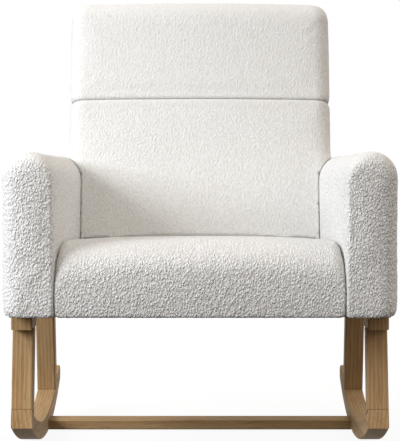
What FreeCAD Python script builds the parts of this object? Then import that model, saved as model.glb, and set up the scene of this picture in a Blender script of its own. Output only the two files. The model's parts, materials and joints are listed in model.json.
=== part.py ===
import FreeCAD, Part
import math
import os

Vector = FreeCAD.Vector

# Upholstered rocking chair, in millimetres and degrees.
# X runs across the chair, +Y to its back and +Z up, from the floor under the middle of its box.
# Left and right are the sitter's: the left side is at +X, and the right side is its mirror.

# Overall sizes
overall_width = 750.0
overall_depth = 790.0
body_bottom = 277.0
arm_top = 594.0
seat_crest = 424.0
back_top = 941.0

# Upholstery layers
cover_thickness = 4.0
layer_gap = 0.3
module_gap = 0.4
board_thickness = 18.0

# Arms: boxes with half-round tops, whose inner faces toe in towards the back
arm_width = 100.0
arm_length = 657.0
arm_toe_in = 1.36
arm_foot_round = 14.0
arm_front_crown = 36.0
arm_front_edge = 5.0
arm_rear_edge = 12.0
arm_padding = 10.0
arm_front_padding = 16.0
arm_rear_padding = 6.0
arm_liner_thickness = 3.0
arm_base_height = 24.0
arm_board_thickness = 15.0
arm_board_drop = 62.0

# Seat: a crowned block with a deep roll along its front edge
seat_depth = 530.0
seat_setback = 3.0
seat_roll_depth = 66.0
seat_roll_drop = 62.0
seat_side_draw = 10.0
seat_side_ease = 18.0
seat_crown_rise = 14.0
seat_rear_rise = 5.0
seat_shoulder = 34.0
seat_rear_shoulder = 10.0
seat_fade = 190.0
seat_fall = 7.0
seat_front_padding = 18.0
seat_rail_height = 66.0
seat_rail_thickness = 22.0
corner_block_leg = 58.0
corner_block_height = 48.0
dust_cover_thickness = 1.5

# Zigzag seat springs and the clips that hold their end runs on the rails
spring_count = 5
spring_runs = 11
spring_wire = 3.8
spring_run_length = 40.0
spring_spacing = 88.0
clip_width = 18.0
clip_depth = 14.0
clip_roof = 1.2

# Back: a reclined slab with a headrest above one sewn seam
recline = 13.0
back_thickness = 100.0
back_overlap = 31.6
back_shoulder = 36.0
back_crown_rise = 9.0
back_corner = 31.0
back_top_ease = 44.0
back_top_draw = 40.0
headrest_seam_height = 721.0
seam_ease = 24.0
seam_draw = 20.0
seam_side_draw = 5.0
back_cushion_start = 40.0
back_side_padding = 16.0
back_top_padding = 18.0
backing_thickness = 3.0
post_width = 40.0
post_depth = 40.0
post_clearance = 10.0
back_rail_height = 62.0
back_rail_thickness = 22.0
wing_clearance = 8.0
strap_count = 7
strap_width = 44.0
strap_thickness = 1.8

# Wooden base: two side frames on curved runners, and one stretcher
base_inset = 9.0
base_setback = 100.0
leg_width = 41.0
leg_depth = 45.0
base_rail_length = 557.0
base_rail_height = 30.0
base_rail_relief = 14.0
base_rail_shoulder = 9.0
front_leg_step = 33.0
front_leg_lean = 11.5
rear_leg_step = 2.0
rear_leg_lean = 13.5
runner_radius = 920.0
runner_thickness = 36.0
runner_lowest = 413.3
runner_tail_round = 16.0
stretcher_height = 21.0
stretcher_depth = 45.0
stretcher_lift = 0.8
stretcher_setback = 374.0
wood_edge = 3.0

# Dowels and knock-down fasteners
dowel_diameter = 10.0
dowel_reach = 20.0
dowel_spacing = 22.0
dowel_clearance = 0.1
bolt_size = 6.0
bolt_head_diameter = 10.5
bolt_head_height = 5.0
bolt_clearance = 0.3
thread_clearance = 0.1
counterbore_clearance = 1.0
counterbore_depth = 9.0
bolt_tail = 2.0
tee_nut_flange = 17.0
tee_nut_flange_thickness = 1.6
tee_nut_barrel = 8.0
tee_nut_length = 10.0
insert_diameter = 9.0
insert_length = 20.0
hex_nut_width = 10.0
hex_nut_thickness = 5.0
cross_dowel_diameter = 10.0
cross_dowel_length = 15.0
cross_dowel_reach = 34.0
bolt_rows = 3
back_bolt_rows = 2

# Modelling steps: stations round an eased end and along the seat, and how far cutting solids overshoot
ease_steps = 4
seat_stations = 6
least_round = 2.0
overshoot = 20.0

# Places worked out from the sizes above
half_width = overall_width / 2
front = -overall_depth / 2
arm_rear = front + arm_length
toe = math.tan(math.radians(arm_toe_in))
lean_back = math.radians(recline)
back_width = 2 * (half_width - arm_width - arm_length * toe + back_overlap)

arm_pad_inset = cover_thickness + layer_gap
arm_liner_inset = arm_pad_inset + arm_padding + layer_gap
arm_frame_inset = arm_liner_inset + arm_liner_thickness + layer_gap
arm_panel_front = front + arm_pad_inset + arm_front_padding + layer_gap
arm_panel_rear = arm_rear - arm_pad_inset - arm_rear_padding - layer_gap
arm_bay_front = arm_panel_front + board_thickness
arm_bay_rear = arm_panel_rear - board_thickness

seat_front = front + seat_setback
seat_rail_front = seat_front + cover_thickness + layer_gap + seat_front_padding + layer_gap
seat_rail_bottom = body_bottom + dust_cover_thickness
seat_rail_top = seat_rail_bottom + seat_rail_height
clip_height = spring_wire + clip_roof
seat_pocket_top = seat_rail_top + clip_height + layer_gap

post_rear = cover_thickness + layer_gap + backing_thickness + layer_gap
post_front = post_rear + post_depth
seat_rear_line = post_front + layer_gap
strap_front = post_front + strap_thickness
back_pocket = strap_front + layer_gap
seat_rear_height = seat_crest - seat_fall
back_foot = front + seat_depth
back_foot -= (seat_rear_height - body_bottom) * math.tan(lean_back)
back_foot += back_thickness / math.cos(lean_back)
back_length = back_top - body_bottom - (back_thickness - back_top_draw) * math.sin(lean_back)
back_length /= math.cos(lean_back)
seam_place = headrest_seam_height - body_bottom - back_thickness * math.sin(lean_back)
seam_place /= math.cos(lean_back)
frame_top = back_length - cover_thickness - back_top_padding

base_outer = half_width - base_inset
base_inner = base_outer - leg_width
base_middle = (base_outer + base_inner) / 2
base_rail_front = front + base_setback
base_rail_rear = base_rail_front + base_rail_length
base_rail_bottom = body_bottom - base_rail_height
front_leg_top = base_rail_front + front_leg_step
rear_leg_top = base_rail_rear - rear_leg_step - leg_depth
runner_tail = overall_depth / 2
runner_centre = front + runner_lowest
runner_top_radius = runner_radius - runner_thickness
stretcher_top_radius = runner_radius - stretcher_lift - stretcher_height
stretcher_run = base_rail_front + stretcher_setback + stretcher_depth / 2 - runner_centre
stretcher_turn = math.asin(stretcher_run / runner_radius)


# Helpers

def inner_face(y):
    """Half the clear width between the arms at the depth y."""
    return half_width - arm_width - (y - front) * toe


def back_y(depth, z):
    """The Y at height z of the plane that lies depth in front of the back's rear face."""
    return back_foot + (z - body_bottom) * math.tan(lean_back) - depth / math.cos(lean_back)


def back_point(across, depth, along):
    """A point of the reclined back: across it, in front of its rear face and along its height."""
    y = back_foot + along * math.sin(lean_back) - depth * math.cos(lean_back)
    z = body_bottom + along * math.cos(lean_back) + depth * math.sin(lean_back)
    return Vector(across, y, z)


def back_height(depth, along):
    """The Z of a point of the reclined back."""
    return back_point(0, depth, along).z


def extruded(points, direction):
    """A prism on the closed outline through points."""
    return Part.Face(Part.makePolygon(points + points[:1])).extrude(direction)


def side_prism(outline, x_from, x_to):
    """A prism across the chair on an outline of (y, z) pairs."""
    points = [Vector(x_from, y, z) for y, z in outline]
    return extruded(points, Vector(x_to - x_from, 0, 0))


def plan_prism(outline, z_from, z_to):
    """An upright prism on an outline of (x, y) pairs."""
    points = [Vector(x, y, z_from) for x, y in outline]
    return extruded(points, Vector(0, 0, z_to - z_from))


def block(x_from, x_to, y_from, y_to, z_from, z_to):
    """A box between two corners."""
    size = Vector(x_to - x_from, y_to - y_from, z_to - z_from)
    return Part.makeBox(size.x, size.y, size.z, Vector(x_from, y_from, z_from))


def back_slab(x_from, x_to, depth_from, depth_to, z_from, z_to):
    """A board parallel to the reclined back, with level ends."""
    outline = [(back_y(depth_from, z_from), z_from), (back_y(depth_to, z_from), z_from),
               (back_y(depth_to, z_to), z_to), (back_y(depth_from, z_to), z_to)]
    return side_prism(outline, x_from, x_to)


def mirrored(shape):
    """The same piece on the other side of the chair."""
    return shape.mirror(Vector(0, 0, 0), Vector(1, 0, 0))


def group(shapes):
    """Separate solids that share one node."""
    return Part.makeCompound(shapes)


def without(shape, cutters):
    """The shape with each cutter taken from it."""
    for cutter in cutters:
        shape = shape.cut(cutter)
    return shape.removeSplitter()


def largest(shape):
    """The main solid of a cut shape."""
    return max(shape.Solids, key=lambda solid: solid.Volume)


def spread(first, last, count):
    """Evenly spaced places from first to last."""
    return [first + (last - first) * index / (count - 1) for index in range(count)]


def eased_end():
    """How far a rounded end has come along, and the share of its draw that is left, by stations."""
    angles = [math.radians(90.0 * step / ease_steps) for step in range(ease_steps + 1)]
    return [(1 - math.cos(angle), 1 - math.sin(angle)) for angle in angles]


def round_draw(radius, run):
    """How far a rounded edge still draws in at run behind its face."""
    left = radius - min(run, radius)
    return radius - math.sqrt(radius ** 2 - left ** 2)


def crowned_wire(place, left, right, base, crown, rise, shoulder):
    """A padded section: flat base, straight sides, round shoulders and a crowned top."""
    edge = crown - rise
    low = edge - shoulder
    turn = shoulder * (1 - math.sqrt(0.5))
    base_left = place(left, base)
    base_right = place(right, base)
    low_right = place(right, low)
    low_left = place(left, low)
    top_right = place(right - shoulder, edge)
    top_left = place(left + shoulder, edge)
    curves = [Part.LineSegment(base_left, base_right),
              Part.LineSegment(base_right, low_right),
              Part.Arc(low_right, place(right - turn, edge - turn), top_right),
              Part.Arc(top_right, place((left + right) / 2, crown), top_left),
              Part.Arc(top_left, place(left + turn, edge - turn), low_left),
              Part.LineSegment(low_left, base_left)]
    return Part.Wire([curve.toShape() for curve in curves])


def joined_lofts(runs):
    """One solid through runs of sections: smooth where a run is eased, straight where it has two."""
    solids = [Part.makeLoft(wires, True, len(wires) == 2) for wires in runs]
    return solids[0].multiFuse(solids[1:])


def round_edges(shape, radius, wanted):
    """The shape with the edges that wanted picks rounded."""
    return shape.makeFillet(radius, [edge for edge in shape.Edges if wanted(edge)])


# Fasteners

def bolt(seat, direction, length):
    """A socket bolt whose head bears at seat and whose shank runs along direction."""
    shank = Part.makeCylinder(bolt_size / 2, length, seat, direction)
    head_foot = seat - direction * bolt_head_height
    head = Part.makeCylinder(bolt_head_diameter / 2, bolt_head_height, head_foot, direction)
    return shank.fuse(head).removeSplitter()


def bolt_hole(seat, direction, length):
    """The clearance hole for a bolt's shank."""
    return Part.makeCylinder(bolt_size / 2 + bolt_clearance, length, seat, direction)


def counterbore(seat, direction):
    """The recess for a bolt's head, from the head's bearing face outwards."""
    return Part.makeCylinder(bolt_head_diameter / 2 + counterbore_clearance, counterbore_depth + overshoot,
                             seat, direction * -1)


def sleeve(diameter, length, seat, direction):
    """A threaded sleeve round a bolt's shank."""
    outer = Part.makeCylinder(diameter / 2, length, seat, direction)
    return outer.cut(Part.makeCylinder(bolt_size / 2 + thread_clearance, length, seat, direction))


# Arms, drawn on the left side

def arm_section(y, inner_inset, outer_inset, base, foot_round):
    """One section across the arm: square inside, rounded at its outer foot, and half round at its top."""
    left = inner_face(y) + inner_inset
    right = half_width - outer_inset
    middle = (left + right) / 2
    radius = (right - left) / 2
    low = arm_top - outer_inset - radius
    turn = radius * math.sqrt(0.5)
    top = Vector(middle, y, arm_top - outer_inset)
    low_left = Vector(left, y, low)
    low_right = Vector(right, y, low)
    base_left = Vector(left, y, base)
    foot = Vector(right - foot_round, y, base)
    edges = [Part.LineSegment(base_left, foot)]
    side_start = foot
    if foot_round > 0:
        side_start = Vector(right, y, base + foot_round)
        bend = foot_round * math.sqrt(0.5)
        bent = Vector(right - foot_round + bend, y, base + foot_round - bend)
        edges.append(Part.Arc(foot, bent, side_start))
    edges += [Part.LineSegment(side_start, low_right),
              Part.Arc(low_right, Vector(middle + turn, y, low + turn), top),
              Part.Arc(top, Vector(middle - turn, y, low + turn), low_left),
              Part.LineSegment(low_left, base_left)]
    return Part.Wire([edge.toShape() for edge in edges])


def arm_form(inset, front_inset, rear_inset, base, foot_round):
    """The arm's padded form, drawn in by its insets: its front is full outside and crisp inside."""
    crown = max(arm_front_crown - max(inset, front_inset), 2 * least_round)
    edge = max(arm_front_edge - max(inset, front_inset), least_round)
    rear_round = max(arm_rear_edge - max(inset, rear_inset), least_round)
    near = front + front_inset
    far = arm_rear - rear_inset

    def near_section(run):
        return arm_section(near + run, inset + round_draw(edge, run), inset + round_draw(crown, run),
                           base, foot_round)

    def far_section(run):
        draw = inset + round_draw(rear_round, run)
        return arm_section(far - run, draw, draw, base, foot_round)

    turned = math.acos(1 - edge / crown)
    crown_runs = [crown * (1 - math.cos(angle)) for angle in spread(turned, math.pi / 2, ease_steps + 1)]
    edge_end = [near_section(edge * along) for along, left in eased_end()]
    near_end = [near_section(run) for run in crown_runs]
    far_end = [far_section(rear_round * along) for along, left in eased_end()]
    return joined_lofts([edge_end, near_end, [near_end[-1], far_end[-1]], far_end[::-1]])


def arm_prism(inset, y_from, y_to, base):
    """A straight stretch of the arm's section."""
    return Part.makeLoft([arm_section(y, inset, inset, base, 0) for y in (y_from, y_to)], True, True)


def arm_core():
    """The room for the arm's lined frame, open under it."""
    return arm_prism(arm_liner_inset - layer_gap, arm_panel_front - layer_gap, arm_panel_rear + layer_gap,
                     body_bottom - overshoot)


def arm_window():
    """The opening low in the arm's inner wall, where its base rail meets the seat frame."""
    reach = arm_frame_inset
    outline = [(inner_face(arm_bay_front) - overshoot, arm_bay_front),
               (inner_face(arm_bay_front) + reach, arm_bay_front),
               (inner_face(arm_bay_rear) + reach, arm_bay_rear),
               (inner_face(arm_bay_rear) - overshoot, arm_bay_rear)]
    return plan_prism(outline, body_bottom - overshoot, body_bottom + arm_base_height + layer_gap)


def make_arm_cover():
    """The sewn cover: a hood over the arm, turned in under the padding round its foot."""
    outside = arm_form(0, 0, 0, body_bottom, arm_foot_round)
    inside = arm_form(cover_thickness, cover_thickness, cover_thickness, body_bottom + cover_thickness,
                      arm_foot_round - cover_thickness)
    return without(outside, [inside, arm_core(), arm_window()])


def make_arm_padding():
    """The foam wrap between the cover and the lined frame."""
    outside = arm_form(arm_pad_inset, arm_pad_inset, arm_pad_inset, body_bottom + arm_pad_inset,
                       arm_foot_round - arm_pad_inset)
    return without(outside, [arm_core(), arm_window()])


def make_arm_liner():
    """The bent hardboard skin over the arm's frame."""
    outside = arm_prism(arm_liner_inset, arm_panel_front, arm_panel_rear, body_bottom)
    inside = arm_prism(arm_liner_inset + arm_liner_thickness, arm_panel_front - overshoot,
                       arm_panel_rear + overshoot, body_bottom - overshoot)
    return outside.cut(inside).cut(arm_window())


def make_arm_front_panel():
    """The domed plywood panel at the arm's front."""
    return arm_prism(arm_frame_inset, arm_panel_front, arm_bay_front, body_bottom)


def make_arm_rear_panel():
    """The domed plywood panel at the arm's back."""
    return arm_prism(arm_frame_inset, arm_bay_rear, arm_panel_rear, body_bottom)


def make_arm_top_board():
    """The board under the dome, between the two panels."""
    core = arm_prism(arm_frame_inset, arm_bay_front, arm_bay_rear, body_bottom)
    top = arm_top - arm_board_drop
    return core.common(block(0, overall_width, front, arm_rear, top - arm_board_thickness, top))


def make_arm_base_rail():
    """The board at the arm's foot, which carries the seat frame and stands on the wooden base."""
    outline = [(inner_face(arm_bay_front), arm_bay_front),
               (half_width - arm_frame_inset, arm_bay_front),
               (half_width - arm_frame_inset, arm_bay_rear),
               (inner_face(arm_bay_rear), arm_bay_rear)]
    rail = plan_prism(outline, body_bottom, body_bottom + arm_base_height)
    holes = [hole for seat in base_bolt_seats() for hole in base_bolt_holes(seat)]
    holes += [arm_insert_hole(y) for y in arm_bolt_rows()]
    return without(rail, holes)


# Seat

def crest_height(y):
    """The seat's height along its middle line, falling gently towards the back."""
    crest_y = seat_front + seat_roll_depth
    share = (y - crest_y) / (seat_depth - seat_roll_depth)
    return seat_crest - seat_fall * share * abs(share)


def faded(y, at_front, at_rear):
    """A size of the seat that fades from its front value to its rear value."""
    share = min(max((y - seat_front) / seat_fade, 0), 1)
    return at_front + (at_rear - at_front) * share * share * (3 - 2 * share)


def seat_section(y, side_draw, top_draw, inset, base):
    """One section across the seat, rounder at its front than where the arms hold its sides."""
    def place(across, up):
        return Vector(across, y, up)
    half = inner_face(y) - module_gap - side_draw
    rise = faded(y, seat_crown_rise, seat_rear_rise)
    shoulder = faded(y, seat_shoulder, seat_rear_shoulder)
    return crowned_wire(place, -half, half, base, crest_height(y) - top_draw, rise, shoulder - inset)


def side_share(run):
    """The share of the side draw that is left at a run back from the seat's front."""
    left = min(max(1 - run / seat_side_ease, 0), 1)
    return 1 - math.sqrt(1 - left * left)


def seat_form(inset, base):
    """The seat's crowned form, drawn in by inset, running back under the back cushion."""
    roll = []
    for along, left in eased_end():
        y = seat_front + inset + (seat_roll_depth - inset) * along
        side_draw = inset + seat_side_draw * side_share(y - seat_front - inset)
        top_draw = inset + (seat_roll_drop - inset) * left
        roll.append(seat_section(y, side_draw, top_draw, inset, base))
    rear = back_y(0, seat_crest)
    top = [seat_section(y, inset, inset, inset, base)
           for y in spread(seat_front + seat_roll_depth, rear, seat_stations)]
    return joined_lofts([roll, top])


def behind_seat(margin):
    """Everything behind the line where the seat meets the back frame."""
    return back_slab(-overall_width, overall_width, -overall_depth, seat_rear_line + margin,
                     -overshoot, back_top + overshoot)


def seat_pocket(clearance):
    """The room for the seat frame and its springs under the foam."""
    rear = back_y(0, seat_pocket_top)
    near = seat_rail_front - clearance
    outline = [(-inner_face(near) - overshoot, near), (inner_face(near) + overshoot, near),
               (inner_face(rear) + overshoot, rear), (-inner_face(rear) - overshoot, rear)]
    return plan_prism(outline, body_bottom - overshoot, seat_pocket_top)


def make_seat_cover():
    """The sewn seat cover, stapled along the side rails and under the front rail."""
    outside = seat_form(0, body_bottom)
    inside = seat_form(cover_thickness, body_bottom - overshoot)
    return outside.cut(inside).cut(seat_pocket(0)).cut(behind_seat(0))


def make_seat_foam():
    """The foam block on the springs, with its wrap down the front rail."""
    outside = seat_form(cover_thickness + layer_gap, body_bottom)
    return outside.cut(seat_pocket(layer_gap)).cut(behind_seat(0))


def rear_rail_face():
    """The depth in the back of the seat's rear rail's front face."""
    return seat_rear_line + seat_rail_thickness


def make_seat_front_rail():
    """The rail across the front of the seat frame."""
    near = seat_rail_front
    far = near + seat_rail_thickness
    outline = [(-inner_face(near) + module_gap, near), (inner_face(near) - module_gap, near),
               (inner_face(far) - module_gap, far), (-inner_face(far) + module_gap, far)]
    return plan_prism(outline, seat_rail_bottom, seat_rail_top)


def make_seat_rear_rail():
    """The reclined rail that the back's posts bolt to."""
    reach = inner_face(back_y(seat_rear_line, seat_rail_top)) - module_gap
    rail = back_slab(-reach, reach, seat_rear_line, rear_rail_face(), seat_rail_bottom, seat_rail_top)
    return without(rail, [bolt_hole(seat, back_forward(), overall_depth) for seat in back_bolt_seats()])


def seat_side_outline():
    """The plan of the left side rail."""
    near = seat_rail_front + seat_rail_thickness
    far = back_y(0, seat_rail_top)
    inside = module_gap + seat_rail_thickness
    return [(inner_face(near) - inside, near), (inner_face(near) - module_gap, near),
            (inner_face(far) - module_gap, far), (inner_face(far) - inside, far)]


def behind_rear_rail():
    """Everything behind the front face of the seat's rear rail."""
    return back_slab(-overall_width, overall_width, -overall_depth, rear_rail_face(),
                     -overshoot, back_top + overshoot)


def make_seat_side_rail():
    """The left side rail, bolted to the arm's base rail."""
    rail = plan_prism(seat_side_outline(), seat_rail_bottom, seat_rail_top).cut(behind_rear_rail())
    return without(rail, [bolt_hole(*arm_bolt_line(y), overall_width) for y in arm_bolt_rows()])


def make_corner_block():
    """The glued block in the left front corner of the seat frame."""
    near = seat_rail_front + seat_rail_thickness
    side = module_gap + seat_rail_thickness
    far = near + corner_block_leg
    outline = [(inner_face(near) - side, near), (inner_face(far) - side, far),
               (inner_face(near) - side - corner_block_leg, near)]
    return plan_prism(outline, seat_rail_top - corner_block_height, seat_rail_top)


def make_dust_cover():
    """The thin cloth under the seat frame and the foot of the back."""
    near = seat_rail_front
    far = back_y(cover_thickness + layer_gap, body_bottom)
    outline = [(-inner_face(near) + module_gap, near), (inner_face(near) - module_gap, near),
               (inner_face(far) - module_gap, far), (-inner_face(far) + module_gap, far)]
    return plan_prism(outline, body_bottom, body_bottom + dust_cover_thickness)


def spring_ends():
    """The Y of the springs' first and last runs, over the middle of the rails."""
    first = seat_rail_front + seat_rail_thickness / 2
    last = back_y((seat_rear_line + rear_rail_face()) / 2, seat_rail_top)
    return first, last


def make_spring(middle):
    """One zigzag spring: straight runs joined by half turns, from rail to rail."""
    first, last = spring_ends()
    pitch = (last - first) / (spring_runs - 1)
    height = seat_rail_top + spring_wire / 2
    reach = spring_run_length / 2
    edges = []
    for run in range(spring_runs):
        y = first + pitch * run
        side = 1 if run % 2 == 0 else -1
        start = Vector(middle - side * reach, y, height)
        end = Vector(middle + side * reach, y, height)
        edges.append(Part.LineSegment(start, end).toShape())
        if run < spring_runs - 1:
            after = end + Vector(0, pitch, 0)
            crest = end + Vector(side * pitch / 2, pitch / 2, 0)
            edges.append(Part.Arc(end, crest, after).toShape())
    path = Part.Wire(edges)
    start = Vector(middle - reach, first, height)
    section = Part.Wire([Part.makeCircle(spring_wire / 2, start, Vector(1, 0, 0))])
    return path.makePipeShell([section], True, False)


def spring_places():
    """The X of each spring, evenly about the middle."""
    return [spring_spacing * (index - (spring_count - 1) / 2) for index in range(spring_count)]


def make_spring_clip(middle, y):
    """One saddle clip over a spring's end run."""
    body = block(middle - clip_width / 2, middle + clip_width / 2, y - clip_depth / 2, y + clip_depth / 2,
                 seat_rail_top, seat_rail_top + clip_height)
    height = seat_rail_top + spring_wire / 2
    bore = spring_wire / 2 + thread_clearance
    start = Vector(middle - clip_width, y, height)
    channel = Part.makeCylinder(bore, 2 * clip_width, start, Vector(1, 0, 0))
    throat = block(middle - clip_width, middle + clip_width, y - bore, y + bore,
                   seat_rail_top - overshoot, height)
    return body.cut(channel.fuse(throat))


# Back

def back_section(along, side_draw, front_draw, inset, base):
    """One section through the back, square to its height."""
    def place(across, depth):
        return back_point(across, depth, along)
    half = back_width / 2 - side_draw
    return crowned_wire(place, -half, half, base, back_thickness - front_draw,
                        back_crown_rise, back_shoulder - inset)


def drawn_end(length, front_draw, side_draw, inset):
    """Stations of a rounded end: distance in from the end, draw of the sides and draw of the front."""
    stations = []
    for along, left in eased_end():
        stations.append((inset + (length - inset) * along,
                         inset + (side_draw - inset) * left,
                         inset + (front_draw - inset) * left))
    return stations


def back_wires(stations, inset, base):
    """The sections of a padded form at stations along the back."""
    return [back_section(along, side, depth, inset, base) for along, side, depth in stations]


def seam_end(inset):
    """The drawn-in end of a cushion at the headrest seam."""
    return drawn_end(seam_ease, seam_draw, seam_side_draw, inset)


def top_end(inset):
    """The rounded top of the back, from its straight sides to its highest section."""
    stations = drawn_end(back_top_ease, back_top_draw, back_corner, inset)
    return [(back_length - along, side, depth) for along, side, depth in stations[::-1]]


def lower_back_form(inset, base, start):
    """The lower back's form, from inside the seat up to the seam."""
    stop = seam_place - layer_gap / 2
    seam = [(stop - along, side, depth) for along, side, depth in seam_end(inset)[::-1]]
    foot = back_section(start, inset, inset, inset, base)
    wires = back_wires(seam, inset, base)
    return joined_lofts([[foot, wires[0]], wires])


def headrest_form(inset, base):
    """The headrest's form, from the seam to the top of the chair."""
    start = seam_place + layer_gap / 2
    seam = back_wires([(start + along, side, depth) for along, side, depth in seam_end(inset)], inset, base)
    top = back_wires(top_end(inset), inset, base)
    return joined_lofts([seam, [seam[-1], top[0]], top])


def beside_back():
    """The room that the two arms and the seat take from the back cushion."""
    arm = arm_form(-module_gap, -module_gap, -module_gap, body_bottom - overshoot, 0)
    seat = seat_form(-module_gap, body_bottom - overshoot).cut(behind_seat(-module_gap))
    return [arm, mirrored(arm), seat]


def back_pocket_room():
    """The room for the back's frame and straps behind the foam."""
    reach = back_width / 2 - cover_thickness - back_side_padding + layer_gap
    top = back_height(back_pocket, frame_top) + layer_gap
    return back_slab(-reach, reach, -overshoot, back_pocket, body_bottom - overshoot, top)


def seam_passage(clearance):
    """The way through the seam for the rear panel, between the covers' side walls."""
    reach = back_width / 2 - seam_side_draw - cover_thickness - layer_gap + clearance
    seam = back_height(0, seam_place)
    return back_slab(-reach, reach, -overshoot, cover_thickness + layer_gap,
                     seam - seam_ease, seam + seam_ease)


def behind_covers():
    """The room that the frame and the rear panel take from the covers."""
    return [back_pocket_room(), seam_passage(layer_gap)]


def make_lower_back_cover(neighbours):
    """The lower back's sewn cover, cut round the arms and the seat."""
    outside = lower_back_form(0, 0, back_cushion_start)
    inside = lower_back_form(cover_thickness, -overshoot, back_cushion_start - overshoot)
    return largest(without(outside.cut(inside), neighbours + behind_covers() + [below_cushion()]))


def below_cushion():
    """The space behind the seat and under the lower back's cushion."""
    return back_slab(-overall_width, overall_width, -overall_depth, back_pocket,
                     -overshoot, arm_top - arm_width / 2)


def make_lower_back_foam(neighbours):
    """The lower back's foam, resting on the straps."""
    foam = lower_back_form(cover_thickness + layer_gap, post_rear, back_cushion_start)
    return largest(without(foam.cut(back_pocket_room()), neighbours + [below_cushion()]))


def make_headrest_cover():
    """The headrest's sewn cover, open at the rear."""
    shell = headrest_form(0, 0).cut(headrest_form(cover_thickness, -overshoot))
    return largest(without(shell, behind_covers()))


def make_headrest_foam():
    """The headrest's foam, over the top of the frame."""
    return headrest_form(cover_thickness + layer_gap, post_rear).cut(back_pocket_room())


def rear_sheet(form, depth_from, depth_to, bottom, neighbours):
    """A sheet over the whole rear of the back, within a form."""
    sheet = back_slab(-overall_width, overall_width, depth_from, depth_to, bottom, back_top)
    return largest(without(form.common(sheet), neighbours))


def make_rear_panel(neighbours):
    """The fabric panel over the rear of the back, inside the covers' side walls."""
    inset = cover_thickness + layer_gap
    lower = lower_back_form(inset, -overshoot, -overshoot)
    form = lower.multiFuse([headrest_form(inset, -overshoot), seam_passage(0)])
    return rear_sheet(form, 0, cover_thickness, body_bottom, neighbours)


def make_backing_board(neighbours):
    """The hardboard behind the frame that keeps the rear panel flat."""
    depth = cover_thickness + layer_gap
    inset = depth + back_side_padding
    top = back_wires(top_end(inset), inset, -overshoot)
    foot = back_section(-overshoot, inset, inset, inset, -overshoot)
    form = joined_lofts([[foot, top[0]], top])
    return rear_sheet(form, depth, depth + backing_thickness, seat_rail_bottom, neighbours)


def post_outer():
    """Half the width over the back's two posts, clear of the arms."""
    return inner_face(arm_rear) - module_gap - post_clearance


def make_back_post():
    """The left post of the back, from the seat frame to the top rail."""
    top = back_height(post_rear, frame_top)
    post = back_slab(post_outer() - post_width, post_outer(), post_rear, post_front, seat_rail_bottom, top)
    seats = [seat for seat in back_bolt_seats() if seat.x > 0]
    holes = [bolt_hole(seat, back_forward(), overall_depth) for seat in seats]
    holes += [counterbore(seat, back_forward()) for seat in seats]
    return without(post, holes)


def make_back_rail(z_from, z_to):
    """One rail between the posts, flush with their fronts."""
    reach = post_outer() - post_width
    return back_slab(-reach, reach, post_front - back_rail_thickness, post_front, z_from, z_to)


def make_back_wing():
    """The block that widens the frame over the left arm."""
    outer = back_width / 2 - cover_thickness - back_side_padding
    bottom = arm_top + module_gap + wing_clearance
    top = back_height(post_rear, frame_top)
    return back_slab(post_outer(), outer, post_rear, post_front, bottom, top)


def make_back_straps():
    """The elastic straps across the posts that carry the foam."""
    first = seat_crest + strap_width
    last = back_height(post_front, frame_top) - strap_width
    straps = []
    for z in spread(first, last, strap_count):
        straps.append(back_slab(-post_outer(), post_outer(), post_front, strap_front,
                                z - strap_width / 2, z + strap_width / 2))
    return straps


# Fastener places

def back_forward():
    """The direction square to the back, towards the front."""
    return Vector(0, -math.cos(lean_back), math.sin(lean_back))


def back_bolt_seats():
    """Where the bolts that hold the back bear, in the posts' counterbores."""
    depth = post_rear + counterbore_depth
    across = post_outer() - post_width / 2
    pitch = seat_rail_height / back_bolt_rows
    seats = []
    for row in range(back_bolt_rows):
        z = seat_rail_bottom + pitch * (row + 0.5)
        for x in (-across, across):
            through = back_slab_point(x, (seat_rear_line + rear_rail_face()) / 2, z)
            run = (seat_rear_line + rear_rail_face()) / 2 - depth
            seats.append(through - back_forward() * run)
    return seats


def back_slab_point(x, depth, z):
    """The point at height z on the plane that lies depth in front of the back's rear face."""
    return Vector(x, back_y(depth, z), z)


def back_bolt_grip():
    """The length of a back bolt from its bearing face to the front of the seat's rear rail."""
    return rear_rail_face() - post_rear - counterbore_depth


def arm_bolt_rows():
    """The depths of the bolts between the seat frame and each arm."""
    first = seat_rail_front + seat_rail_thickness + corner_block_leg + bolt_head_diameter
    last = back_y(rear_rail_face(), seat_rail_bottom) - 2 * bolt_head_diameter
    return spread(first, last, bolt_rows)


def arm_bolt_line(y):
    """The bearing point and direction of one bolt through the left side rail."""
    direction = Vector(math.cos(math.radians(arm_toe_in)), math.sin(math.radians(arm_toe_in)), 0)
    inside = module_gap + seat_rail_thickness
    seat = Vector(inner_face(y) - inside, y, body_bottom + arm_base_height / 2)
    return seat, direction


def arm_insert_seat(y):
    """Where the bolt at y enters the arm's base rail."""
    seat, direction = arm_bolt_line(y)
    return seat + direction * ((seat_rail_thickness + module_gap) * direction.x)


def arm_insert_hole(y):
    """The bore for a threaded insert in the arm's base rail, deep enough for the bolt's end."""
    direction = arm_bolt_line(y)[1]
    return Part.makeCylinder(insert_diameter / 2 + thread_clearance, insert_length + 2 * bolt_tail,
                             arm_insert_seat(y) - direction * bolt_tail, direction)


def make_arm_insert(y):
    """The threaded insert for the bolt at y."""
    direction = arm_bolt_line(y)[1]
    seat = arm_insert_seat(y) + direction * thread_clearance
    return sleeve(insert_diameter, insert_length, seat, direction)


def base_bolt_seats():
    """Where the bolts that hold the left arm on the base bear, in the rail's counterbores."""
    first = front_leg_top + leg_depth + bolt_head_diameter + 2 * dowel_spacing
    last = rear_leg_top - bolt_head_diameter - 2 * dowel_spacing
    bearing = base_rail_bottom + base_rail_relief + counterbore_depth
    return [Vector(base_middle, y, bearing) for y in spread(first, last, bolt_rows)]


def base_bolt_length():
    """The length of a base bolt, through the rail, the arm's base and its tee nut."""
    wood = base_rail_height - base_rail_relief - counterbore_depth + arm_base_height
    return wood + tee_nut_flange_thickness + bolt_tail


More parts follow.
